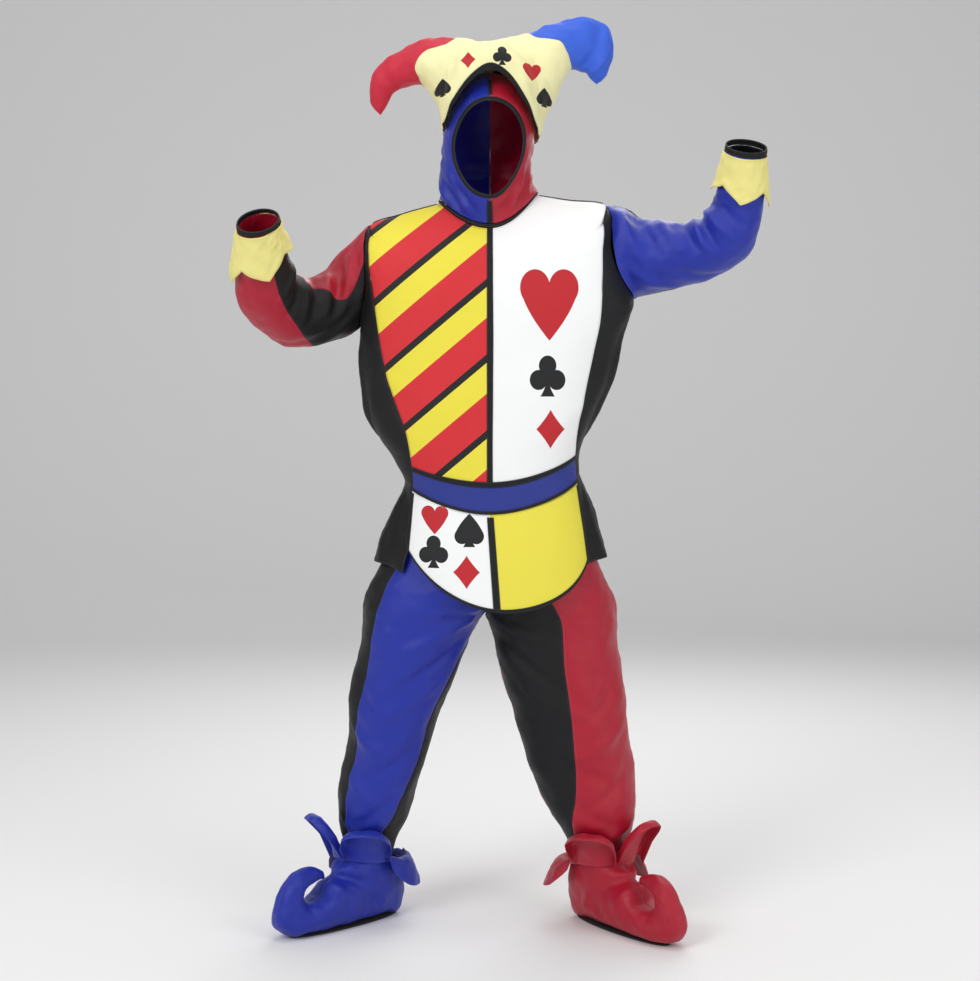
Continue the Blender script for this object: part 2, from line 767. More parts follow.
@dataclass
class ClothPiece:
    """One cut piece of cloth, laid on its solid's surface.

    Its surface takes the share s across the piece and a section number or share t along it. Sizes are
    in millimetres; high is how far its outer face lies over the surface.
    """

    name: str
    surface: Surface
    rows: Grid
    columns: int
    finish: "Finish"
    nodes: tuple[str, ...]
    outward: int = 1
    thick: float = SATIN_THICK
    high: float = 0
    ring: bool = False
    folds: Folds | None = None
    groove: float = 0.8
    pucker: float = 0.35
    held: Held = Held.HUNG
    rests_on: tuple[str, ...] = ()
    level: bool = False
    made: bpy.types.Object | None = field(default=None, repr=False)

    def _base(self) -> tuple[Grid, Grid]:
        """Grid of points on the plain surface, and its outward normals.

        Returns:
            The points in millimetres and the unit normals.
        """
        s, t = np.meshgrid(np.linspace(0, 1, self.columns + 1), self.rows)
        base = self.surface(s, t)
        wrapped = base
        if self.ring:
            wrapped = np.concatenate([base[:, -2:-1], base, base[:, 1:2]], axis=1)
        across = np.gradient(wrapped, axis=1)
        along = np.gradient(wrapped, axis=0)
        if self.ring:
            across, along = across[:, 1:-1], along[:, 1:-1]
        normal = np.cross(across, along) * self.outward
        length = np.linalg.norm(normal, axis=-1, keepdims=True)
        weak = length[..., 0] < 1e-3
        normal = normal / np.maximum(length, 1e-9)
        for j in range(1, len(normal)):
            normal[j][weak[j]] = normal[j - 1][weak[j]]
        return base, normal

    @staticmethod
    def _runs(base: Grid, axis: int) -> Grid:
        """Running length along one way of a grid.

        Args:
            base: the points.
            axis: 0 along the piece, 1 across it.

        Returns:
            Lengths in millimetres.
        """
        step = np.linalg.norm(np.diff(base, axis=axis), axis=-1)
        zero = np.zeros_like(step.take([0], axis=axis))
        return np.concatenate([zero, np.cumsum(step, axis=axis)], axis=axis)

    def build(self) -> bpy.types.Object:
        """Makes the mesh, its UV map in metres and its seam attribute, and dresses it.

        Returns:
            The piece.
        """
        base, normal = self._base()
        across, along = self._runs(base, 1), self._runs(base, 0)
        if self.level:
            along = np.repeat(along.min(axis=1, keepdims=True), along.shape[1], axis=1)
        side_gap = np.minimum(across, across[:, -1:] - across)
        end_gap = np.minimum(along, along[-1:] - along)
        if self.ring:
            side_gap = np.full_like(side_gap, 1e3)
        edge = np.minimum(side_gap, end_gap)
        run = np.where(side_gap < end_gap, along, across)
        height = np.full(edge.shape, float(self.high))
        if self.folds is not None:
            height += self.folds.lift(base)
        height -= self.groove * np.exp(-edge / GROOVE_REACH)
        ripple = np.sin(2 * math.pi * run / PUCKER_LONG + 2.5 * drift(base, 60, 7))
        height += self.pucker * ripple * np.exp(-edge / PUCKER_REACH) * (1 - np.exp(-edge / 2))
        points = base + normal * height[..., None]
        self._draw_in(points, base)
        mesh = self._mesh(points, across, along, side_gap, end_gap, normal)
        self.made = bpy.data.objects.new(self.name, mesh)
        bpy.context.scene.collection.objects.link(self.made)
        self._finish(base, across, along)
        return self.made

    def _draw_in(self, points: Grid, base: Grid) -> None:
        """Draws the border in by the seam gap, so that neighbours stay apart.

        Args:
            points: the moved points, which it changes.
            base: the points before the folds.
        """
        def pull(index: tuple, inner: tuple) -> None:
            """Moves one border towards the row beside it.

            Args:
                index: the border's place in the grid.
                inner: the next row's place.
            """
            way = base[inner] - base[index]
            size = np.maximum(np.linalg.norm(way, axis=-1, keepdims=True), 1e-6)
            points[index] += way / size * np.minimum(SEAM_OPEN, 0.4 * size)

        full = slice(None)
        pull((0, full), (1, full))
        pull((-1, full), (-2, full))
        if not self.ring:
            pull((full, 0), (full, 1))
            pull((full, -1), (full, -2))

    def _mesh(self, points: Grid, across: Grid, along: Grid, side: Grid, end: Grid,
              normal: Grid) -> bpy.types.Mesh:
        """A grid moved onto the piece's points, with UVs in metres and its distance to each seam.

        Args:
            points: the cloth's outer points.
            across: running length across.
            along: running length along.
            side: distance to the nearer side seam.
            end: distance to the nearer end.
            normal: outward directions.

        Returns:
            The mesh, in metres.
        """
        rows, cols = points.shape[0] - 1, points.shape[1] - 1
        bm = bmesh.new()
        bmesh.ops.create_grid(bm, x_segments=cols, y_segments=rows, size=1)
        bm.verts.index_update()
        uv = bm.loops.layers.uv.new("cloth")
        seam = bm.verts.layers.float_vector.new("seam")
        places = {}
        for vert in bm.verts:
            i, j = round((vert.co.x + 1) * cols / 2), round((vert.co.y + 1) * rows / 2)
            places[vert.index] = (j, i)
            vert.co = Vector(points[j, i] * MM)
            vert[seam] = Vector((side[j, i], end[j, i], 0)) * MM
        middle = across[:, -1:] / 2
        for face in bm.faces:
            for loop in face.loops:
                j, i = places[loop.vert.index]
                loop[uv].uv = ((across[j, i] - middle[j, 0]) * MM, along[j, i] * MM)
        bm.normal_update()
        probe = max(bm.faces, key=lambda f: f.calc_area())
        j, i = places[probe.verts[0].index]
        if probe.normal.dot(Vector(normal[j, i])) < 0:
            bmesh.ops.reverse_faces(bm, faces=bm.faces)
        bmesh.ops.remove_doubles(bm, verts=bm.verts, dist=1e-5)
        mesh = bpy.data.meshes.new(self.name)
        bm.to_mesh(mesh)
        bm.free()
        mesh.shade_smooth()
        return mesh

    def _finish(self, base: Grid, across: Grid, along: Grid) -> None:
        """Gives it thickness, finish, body, slot and flat size.

        Args:
            base: points on the plain surface.
            across: running length across.
            along: running length along.
        """
        wall = self.made.modifiers.new("thickness", "SOLIDIFY")
        wall.thickness = self.thick * MM
        wall.offset = -1
        smooth = self.made.modifiers.new("even_normals", "WEIGHTED_NORMAL")
        smooth.keep_sharp = False
        self.made.data.materials.append(self.finish.material())
        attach(self.made, "root")
        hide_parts(*self.nodes)
        width, length = float(across[:, -1].max()) * MM, float(along[-1].max()) * MM
        cells = np.cross(np.diff(base, axis=1)[:-1], np.diff(base, axis=0)[:, :-1])
        cut = float(np.linalg.norm(cells, axis=-1).sum()) * MM * MM
        area = min(max(cut, LEAST_SHARE * width * length), width * length)
        width, length = max(width, LEAST_SIDE), max(length, LEAST_SIDE)
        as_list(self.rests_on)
        LOG.info("%s: cut %.3f by %.3f m, %.4f m2", self.name, width, length, area)


def linear(red: int, green: int, blue: int) -> Colour:
    """Scene-linear colour of a cloth.

    Args:
        red: its red on a screen, 0 to 255.
        green: its green.
        blue: its blue.

    Returns:
        The colour, each part from 0 to 1.
    """
    def channel(value: int) -> float:
        """One part of the colour."""
        share = value / 255
        return share / 12.92 if share <= 0.04045 else ((share + 0.055) / 1.055) ** 2.4

    return channel(red), channel(green), channel(blue)


CLOTH_BLACK = linear(18, 19, 22)
CARD_RED = linear(190, 28, 38)


class Shader:
    """A material put together node by node."""

    def __init__(self, name: str) -> None:
        """Starts a material with its Principled node.

        Args:
            name: its name in Blender.
        """
        self.material = bpy.data.materials.new(name)
        self.material.use_nodes = True
        self.tree = self.material.node_tree
        self.surface = self.tree.nodes["Principled BSDF"]
        self.place = self.node("ShaderNodeTexCoord")

    def node(self, kind: str, **settings: object) -> bpy.types.Node:
        """A new node.

        Args:
            kind: its Blender type.
            settings: its properties by name.

        Returns:
            The node.
        """
        made = self.tree.nodes.new(kind)
        for name, value in settings.items():
            setattr(made, name, value)
        return made

    def feed(self, socket: Socket, value: object) -> None:
        """Links a socket, or sets its number or colour.

        Args:
            socket: the input.
            value: another socket, a number or a colour.
        """
        if isinstance(value, bpy.types.NodeSocket):
            self.tree.links.new(value, socket)
        else:
            socket.default_value = value

    def math(self, operation: str, *values: object) -> Socket:
        """Result of one arithmetic step.

        Args:
            operation: the step's Blender name.
            values: its sockets or numbers.

        Returns:
            The result's socket.
        """
        made = self.node("ShaderNodeMath", operation=operation)
        for socket, value in zip(made.inputs, values):
            self.feed(socket, value)
        return made.outputs[0]

    def blend(self, share: object, first: object, second: object, way: str = "MIX") -> Socket:
        """Colour blend.

        Args:
            share: how much of the second colour there is, from 0 to 1.
            first: a colour or its socket.
            second: a colour or its socket.
            way: Blender's blend type.

        Returns:
            The blend's socket.
        """
        made = self.node("ShaderNodeMix", data_type="RGBA", blend_type=way)
        self.feed(made.inputs[0], share)
        for socket, value in ((made.inputs[6], first), (made.inputs[7], second)):
            self.feed(socket, value if isinstance(value, bpy.types.NodeSocket) else (*value, 1.0))
        return made.outputs[2]

    def noise(self, coordinates: Socket, scale: float, detail: float = 3) -> Socket:
        """Noise value round 0.5.

        Args:
            coordinates: where it is read.
            scale: waves in a unit of the coordinates.
            detail: octaves.

        Returns:
            The value's socket.
        """
        made = self.node("ShaderNodeTexNoise")
        self.feed(made.inputs["Vector"], coordinates)
        made.inputs["Scale"].default_value = scale
        made.inputs["Detail"].default_value = detail
        return made.outputs["Fac"]

    def bump(self, height: Socket, depth: float, below: Socket | None = None) -> Socket:
        """Normal raised by a relief.

        Args:
            height: the relief, in shares of its depth.
            depth: its depth in metres.
            below: a normal that it is laid over.

        Returns:
            The normal's socket.
        """
        made = self.node("ShaderNodeBump")
        made.inputs["Strength"].default_value = 1.0
        made.inputs["Distance"].default_value = depth
        self.feed(made.inputs["Height"], height)
        if below is not None:
            self.feed(made.inputs["Normal"], below)
        return made.outputs["Normal"]

    def split(self, vector: Socket) -> bpy.types.bpy_prop_collection:
        """The three parts of a vector.

        Args:
            vector: its socket.

        Returns:
            The sockets of x, y and z.
        """
        made = self.node("ShaderNodeSeparateXYZ")
        self.feed(made.inputs[0], vector)
        return made.outputs


class Suit(Enum):
    """The card suits printed on the foam, each an outline one unit across."""

    HEART = "heart"
    DIAMOND = "diamond"
    CLUB = "club"
    SPADE = "spade"


@dataclass(frozen=True)
class Motif:
    """One printed suit: its middle in metres from the origin, seen from the front, and its size."""

    suit: Suit
    x: float
    z: float
    wide: float
    high: float
    colour: Colour

    def mask(self, shader: Shader, x: Socket, z: Socket) -> Socket:
        """1 inside the printed outline and 0 outside.

        Args:
            shader: the material.
            x: place across the front, in metres.
            z: height, in metres.

        Returns:
            The mask's socket.
        """
        u = shader.math("ABSOLUTE", shader.math("DIVIDE", shader.math("SUBTRACT", x, self.x), self.wide))
        v = shader.math("DIVIDE", shader.math("SUBTRACT", z, self.z), self.high)
        outline = {
            Suit.HEART: self._heart,
            Suit.DIAMOND: self._diamond,
            Suit.CLUB: self._club,
            Suit.SPADE: self._spade,
        }[self.suit]
        return shader.math("LESS_THAN", outline(shader, u, v), 0.0)

    @staticmethod
    def _disc(shader: Shader, u: Socket, v: Socket, at: tuple[float, float], radius: float) -> Socket:
        """Distance outside a disc.

        Args:
            shader: the material.
            u: distance from the suit's middle line, in its widths.
            v: height over the suit's middle, in its heights.
            at: the disc's middle.
            radius: the disc's radius.

        Returns:
            The distance's socket, below 0 inside.
        """
        du, dv = shader.math("SUBTRACT", u, at[0]), shader.math("SUBTRACT", v, at[1])
        squares = shader.math("ADD", shader.math("MULTIPLY", du, du), shader.math("MULTIPLY", dv, dv))
        return shader.math("SUBTRACT", shader.math("SQRT", squares), radius)

    @classmethod
    def _heart(cls, shader: Shader, u: Socket, v: Socket) -> Socket:
        """Two lobes over a body whose sides curve to the point.

        Args:
            shader: the material.
            u: distance from the suit's middle line, in its widths.
            v: height over the suit's middle, in its heights.

        Returns:
            The distance's socket, below 0 inside.
        """
        lobe = cls._disc(shader, u, v, (0.245, 0.24), 0.255)
        fall = shader.math("DIVIDE", shader.math("SUBTRACT", 0.26, v), 0.76)
        curve = shader.math("POWER", shader.math("MAXIMUM", fall, 0.0), 1.55)
        half = shader.math("SUBTRACT", 0.497, shader.math("MULTIPLY", curve, 0.497))
        body = shader.math("SUBTRACT", u, half)
        above = shader.math("SUBTRACT", v, 0.26)
        return shader.math("MINIMUM", lobe, shader.math("MAXIMUM", body, above))

    @classmethod
    def _diamond(cls, shader: Shader, u: Socket, v: Socket) -> Socket:
        """A lozenge with slightly hollow sides.

        Args:
            shader: the material.
            u: distance from the suit's middle line, in its widths.
            v: height over the suit's middle, in its heights.

        Returns:
            The distance's socket, below 0 inside.
        """
        hollow = 0.9
        across = shader.math("POWER", u, hollow)
        up = shader.math("POWER", shader.math("ABSOLUTE", v), hollow)
        return shader.math("SUBTRACT", shader.math("ADD", across, up), 0.5 ** hollow)

    @staticmethod
    def _stem(shader: Shader, u: Socket, v: Socket) -> Socket:
        """A foot that widens downwards.

        Args:
            shader: the material.
            u: distance from the suit's middle line, in its widths.
            v: height over the suit's middle, in its heights.

        Returns:
            The distance's socket, below 0 inside.
        """
        fall = shader.math("SUBTRACT", -0.05, v)
        wide = shader.math("ADD", shader.math("MULTIPLY", shader.math("MULTIPLY", fall, fall), 0.85), 0.035)
        body = shader.math("SUBTRACT", u, wide)
        above = shader.math("MULTIPLY", fall, -1.0)
        below = shader.math("SUBTRACT", fall, 0.45)
        return shader.math("MAXIMUM", body, shader.math("MAXIMUM", above, below))

    @classmethod
    def _club(cls, shader: Shader, u: Socket, v: Socket) -> Socket:
        """Three leaves on a foot.

        Args:
            shader: the material.
            u: distance from the suit's middle line, in its widths.
            v: height over the suit's middle, in its heights.

        Returns:
            The distance's socket, below 0 inside.
        """
        top = cls._disc(shader, u, v, (0.0, 0.255), 0.245)
        side = cls._disc(shader, u, v, (0.255, -0.095), 0.245)
        leaves = shader.math("MINIMUM", top, side)
        core = cls._disc(shader, u, v, (0.0, 0.0), 0.13)
        return shader.math("MINIMUM", shader.math("MINIMUM", leaves, core), cls._stem(shader, u, v))

    @classmethod
    def _spade(cls, shader: Shader, u: Socket, v: Socket) -> Socket:
        """A leaf with its point up, on a foot."""
        turned = shader.math("ADD", shader.math("MULTIPLY", v, -1.12), 0.03)
        return shader.math("MINIMUM", cls._heart(shader, u, turned), cls._stem(shader, u, v))


@dataclass(frozen=True)
class Stripes:
    """Slanting stripes, seen from the front: a black line between red and yellow."""

    repeat: float = 0.174
    rise: float = 1.19
    start: float = 0.0163
    line: float = 0.056
    change: float = 0.462
    red: Colour = linear(212, 40, 48)
    yellow: Colour = linear(236, 222, 66)

    def paint(self, shader: Shader, _ground: Colour) -> Socket:
        """Colour of the striped print, which leaves no ground bare.

        Args:
            shader: the material.
            _ground: the cloth's colour, which the stripes cover.

        Returns:
            The colour's socket.
        """
        x, _, z = shader.split(shader.place.outputs["Object"])
        across = shader.math("SUBTRACT", x, shader.math("MULTIPLY", z, self.rise))
        slant = shader.math("SUBTRACT", across, self.start)
        phase = shader.math("FRACT", shader.math("DIVIDE", slant, self.repeat))
        first = shader.math("LESS_THAN", phase, self.change)
        colour = shader.blend(first, self.red, self.yellow)
        gap = shader.math("ABSOLUTE", shader.math("SUBTRACT", phase, 0.5))
        return shader.blend(shader.math("GREATER_THAN", gap, 0.5 - self.line), colour, CLOTH_BLACK)


@dataclass(frozen=True)
class Suits:
    """Card suits printed on a plain ground."""

    motifs: tuple[Motif, ...]

    def paint(self, shader: Shader, ground: Colour) -> Socket:
        """Colour of the ground with its suits.

        Args:
            shader: the material.
            ground: the cloth's colour.

        Returns:
            The colour's socket.
        """
        x, _, z = shader.split(shader.place.outputs["Object"])
        colour = ground
        for motif in self.motifs:
            colour = shader.blend(motif.mask(shader, x, z), colour, motif.colour)
        return colour


@dataclass(frozen=True)
class Finish:
    """One cloth: its colour, sheen, weave and stitching. Lengths are in millimetres."""

    slot: str
    colour: Colour
    thread: Colour
    roughness: float = 0.5
    specular: float = 0.4
    sheen: float = 0.3
    weave: float = 1.1
    weave_depth: float = 0.06
    crumple: float = 0.5
    crumple_size: float = 22
    fade: float = 0.12
    stitch: float = 3.0
    stitched: bool = True
    prints: Stripes | Suits | None = None
    wear_reach: float = 0.9
    wear: float = 0.25
    stitch_long: float = 3.4
    stitch_half: float = 0.42
    stitch_depth: float = 0.25

    def material(self) -> bpy.types.Material:
        """The cloth's material, made once.

        Returns:
            The material.
        """
        known = bpy.data.materials.get(f"cloth_{self.slot}")
        if known is not None:
            return known
        shader = Shader(f"cloth_{self.slot}")
        where = shader.place.outputs["Object"]
        cloudy = shader.noise(where, 9.0, 4)
        ground = self.prints.paint(shader, self.colour) if self.prints else self._plain(shader)
        dark = shader.blend(1.0, ground, (1 - self.fade,) * 3, "MULTIPLY")
        colour = shader.blend(cloudy, dark, ground)
        worn, stitch = self._seams(shader)
        colour = shader.blend(worn, colour, tuple(min(1.0, c * 1.25 + 0.01) for c in self.thread))
        colour = shader.blend(stitch, colour, self.thread)
        shader.feed(shader.surface.inputs["Base Color"], colour)
        rough = shader.math("MULTIPLY_ADD", shader.noise(where, 55.0, 3), 0.16, self.roughness - 0.08)
        shader.feed(shader.surface.inputs["Roughness"], rough)
        shader.surface.inputs["Specular IOR Level"].default_value = self.specular
        shader.surface.inputs["Sheen Weight"].default_value = self.sheen
        shader.surface.inputs["Sheen Roughness"].default_value = 0.4
        shader.surface.inputs["Sheen Tint"].default_value = (*self._sheen_tint(), 1.0)
        self._relief(shader, where, stitch)
        return shader.material

    def _sheen_tint(self) -> Colour:
        """The cloth's own colour, much lightened."""
        return tuple(0.35 + 0.65 * c for c in self.colour)

    def _plain(self, shader: Shader) -> Socket:
        """The unprinted ground, with fine colour variation from thread to thread.

        Args:
            shader: the material.

        Returns:
            The colour's socket.
        """
        fleck = shader.noise(shader.place.outputs["UV"], 900.0, 2)
        darker, lighter = (tuple(c * k for c in self.colour) for k in (0.9, 1.1))
        return shader.blend(fleck, darker, lighter)

    def _seams(self, shader: Shader) -> tuple[Socket, Socket]:
        """A light wear along the nearest seam, and its row of stitches.

        Args:
            shader: the material.

        Returns:
            The two masks' sockets.
        """
        seam = shader.node("ShaderNodeAttribute", attribute_name="seam")
        side, end, _ = shader.split(seam.outputs["Vector"])
        u, v, _ = shader.split(shader.place.outputs["UV"])
        edge = shader.math("MINIMUM", side, end)
        near = shader.math("LESS_THAN", edge, self.wear_reach * MM)
        worn = shader.math("MULTIPLY", near, self.wear)
        if not self.stitched:
            return worn, shader.math("MULTIPLY", edge, 0.0)
        by_side = shader.math("LESS_THAN", side, end)
        down = shader.math("MULTIPLY", by_side, v)
        over = shader.math("MULTIPLY", shader.math("SUBTRACT", 1.0, by_side), u)
        run = shader.math("ADD", down, over)
        wave = shader.math("SINE", shader.math("MULTIPLY", run, 2 * math.pi / (self.stitch_long * MM)))
        dash = shader.math("GREATER_THAN", wave, -0.35)
        off = shader.math("ABSOLUTE", shader.math("SUBTRACT", edge, self.stitch * MM))
        line = shader.math("LESS_THAN", off, self.stitch_half * MM)
        return worn, shader.math("MULTIPLY", line, dash)

    def _relief(self, shader: Shader, where: Socket, stitch: Socket) -> None:
        """Crumple, weave and stitches as relief.

        Args:
            shader: the material.
            where: coordinates in metres.
            stitch: the row of stitches.
        """
        crumple = shader.noise(where, 1000.0 / self.crumple_size, 3)
        normal = shader.bump(crumple, self.crumple * MM)
        u, v, _ = shader.split(shader.place.outputs["UV"])
        rate = 2 * math.pi / (self.weave * MM)
        warp, weft = (shader.math("SINE", shader.math("MULTIPLY", way, rate)) for way in (u, v))
        threads = shader.math("MULTIPLY", warp, weft)
        normal = shader.bump(threads, self.weave_depth * MM, normal)
        if self.stitched:
            normal = shader.bump(stitch, self.stitch_depth * MM, normal)
        shader.feed(shader.surface.inputs["Normal"], normal)


BLACK_THREAD = linear(52, 53, 58)
RED_SATIN = Finish("satin_red", linear(176, 14, 44), linear(205, 60, 84), roughness=0.36, sheen=0.16)
BLUE_SATIN = Finish("satin_blue", linear(24, 44, 162), linear(66, 84, 190), roughness=0.36, sheen=0.16)
BLACK_SATIN = Finish("satin_black", linear(13, 14, 17), BLACK_THREAD, roughness=0.5, specular=0.3, sheen=0.04)
HORN_RED = Finish("horn_red", linear(206, 34, 60), linear(226, 80, 98), roughness=0.5, sheen=0.2, crumple=0.8)
HORN_BLUE = Finish("horn_blue", linear(50, 98, 220), linear(96, 140, 240), roughness=0.5, sheen=0.2,
                   crumple=0.8)
FOAM_STRIPE = Finish("foam_stripe", linear(212, 40, 48), linear(150, 30, 34), roughness=0.62, sheen=0.1,
                     crumple=0.25, crumple_size=40, fade=0.05, prints=Stripes())
CARD_SUITS = Suits((
    Motif(Suit.HEART, 0.1145, -0.2075, 0.113, 0.139, CARD_RED),
    Motif(Suit.CLUB, 0.111, -0.345, 0.069, 0.079, CLOTH_BLACK),
    Motif(Suit.DIAMOND, 0.117, -0.4475, 0.056, 0.076, CARD_RED),
    Motif(Suit.HEART, -0.107, -0.623, 0.053, 0.055, CARD_RED),
    Motif(Suit.SPADE, -0.040, -0.641, 0.057, 0.066, CLOTH_BLACK),
    Motif(Suit.CLUB, -0.109, -0.684, 0.057, 0.062, CLOTH_BLACK),
    Motif(Suit.DIAMOND, -0.045, -0.722, 0.052, 0.064, CARD_RED),
))
FOAM_WHITE = Finish("foam_white", linear(244, 245, 245), linear(205, 206, 208), roughness=0.6, sheen=0.1,
                    crumple=0.25, crumple_size=40, fade=0.03, prints=CARD_SUITS)
FOAM_YELLOW = Finish("foam_yellow", linear(234, 221, 72), linear(206, 190, 50), roughness=0.6, sheen=0.1,
                     crumple=0.3, crumple_size=40, fade=0.05)
BELT_BLUE = Finish("belt_blue", linear(36, 52, 142), linear(60, 76, 160), roughness=0.55, sheen=0.15,
                   crumple=0.3, fade=0.08)
CUFF_YELLOW = Finish("cuff_yellow", linear(238, 228, 142), linear(214, 200, 110), roughness=0.75, sheen=0.25,
                     crumple=0.4, fade=0.06)
HAT_SUITS = Suits((
    Motif(Suit.SPADE, -0.0925, 0.2195, 0.034, 0.036, CLOTH_BLACK),
    Motif(Suit.DIAMOND, -0.0425, 0.2655, 0.03, 0.034, CARD_RED),
    Motif(Suit.CLUB, 0.0235, 0.273, 0.036, 0.038, CLOTH_BLACK),
    Motif(Suit.HEART, 0.0815, 0.246, 0.036, 0.036, CARD_RED),
    Motif(Suit.SPADE, 0.1065, 0.203, 0.032, 0.036, CLOTH_BLACK),
))
CROWN_CREAM = Finish("crown_cream", linear(246, 241, 184), linear(214, 206, 140), roughness=0.62, sheen=0.12,
                     crumple=0.5, fade=0.05, prints=HAT_SUITS)
TAPE_BLACK = Finish("tape_black", linear(16, 17, 20), BLACK_THREAD, roughness=0.6, specular=0.3, sheen=0.04,
                    weave=0.9, crumple=0.15, stitch=1.6)
SOLE_BLACK = Finish("sole_black", linear(24, 24, 26), BLACK_THREAD, roughness=0.8, sheen=0.1, stitched=False)


def strip(point: Surface, start: Limit, end: Limit) -> Surface:
    """The part of a surface between two angle limits.

    Args:
        point: the whole surface, in angle and section number.
        start: angle where it begins at a section.
        end: angle where it ends.

    Returns:
        The strip's surface.
    """
    def surface(s: Grid, v: Grid) -> Grid:
        """Point at the share s between the limits."""
        return point(mix(start(v), end(v), s), v)

    return surface


def still(angle: float) -> Limit:
    """An angle limit that is the same at every section.

    Args:
        angle: the angle in degrees.

    Returns:
        The limit.
    """
    def limit(v: Grid) -> Grid:
        """The angle, once for each section number."""
        return np.full_like(np.asarray(v, float), angle)

    return limit


def creases(*rows: tuple) -> tuple[Crease, ...]:
    """Creases from a table."""
    return tuple(Crease(*row) for row in rows)


ARM_ROWS = np.delete(ARMHOLE.rows(30), (1, 2, 3, 27, 28, 29))
TOP_ROWS = refine([0, 0.12, 0.7, 1.4, 2.0], 7)[:-1]
LOW_ROWS = refine([5.0, 5.7, 6.4, 7.1, 7.8, 8.4, 9.0], 5)[1:]
BODY_ROWS = np.concatenate([TOP_ROWS, ARM_ROWS, LOW_ROWS])
BACK_FOLDS = Folds(torso_point, (
    Crease(((128, 3.4), (146, 3.9), (172, 4.1)), 5, 15),
    Crease(((130, 4.4), (150, 5.0), (176, 5.3)), -5, 16),
    Crease(((-126, 3.2), (-150, 3.8), (-174, 4.0)), 5, 15),
    Crease(((-130, 4.6), (-152, 5.2), (-176, 5.2)), -5, 16),
    Crease(((112, 5.6), (128, 7.0), (150, 8.6)), 5, 15),
    Crease(((-112, 5.6), (-130, 7.0), (-152, 8.6)), 5, 15),
    Crease(((100, 6.4), (106, 8.0), (118, 9.8)), -6, 14),
    Crease(((-100, 6.4), (-106, 8.0), (-118, 9.8)), -6, 14),
    Crease(((160, 6.0), (164, 7.6), (158, 9.4)), -5, 16),
    Crease(((-162, 6.2), (-158, 7.8), (-164, 9.4)), 5, 16),
    Crease(((70, 5.4), (76, 7.0), (88, 8.8)), 5, 13),
    Crease(((-70, 5.4), (-76, 7.2), (-90, 9.0)), 5, 13),
    Crease(((66, 7.0), (78, 8.2), (96, 9.0)), -5, 12),
    Crease(((-68, 7.4), (-80, 8.4), (-98, 9.2)), -5, 12),
), uneven=2.0, size=90, seed=3)
FRONT_FOLDS = Folds(torso_point, (
    Crease(((22, 7.2), (42, 6.6), (60, 6.2)), 1.6, 16),
    Crease(((-24, 8.2), (-44, 7.6), (-62, 7.2)), 1.6, 16),
), uneven=0.7, size=150, seed=4)


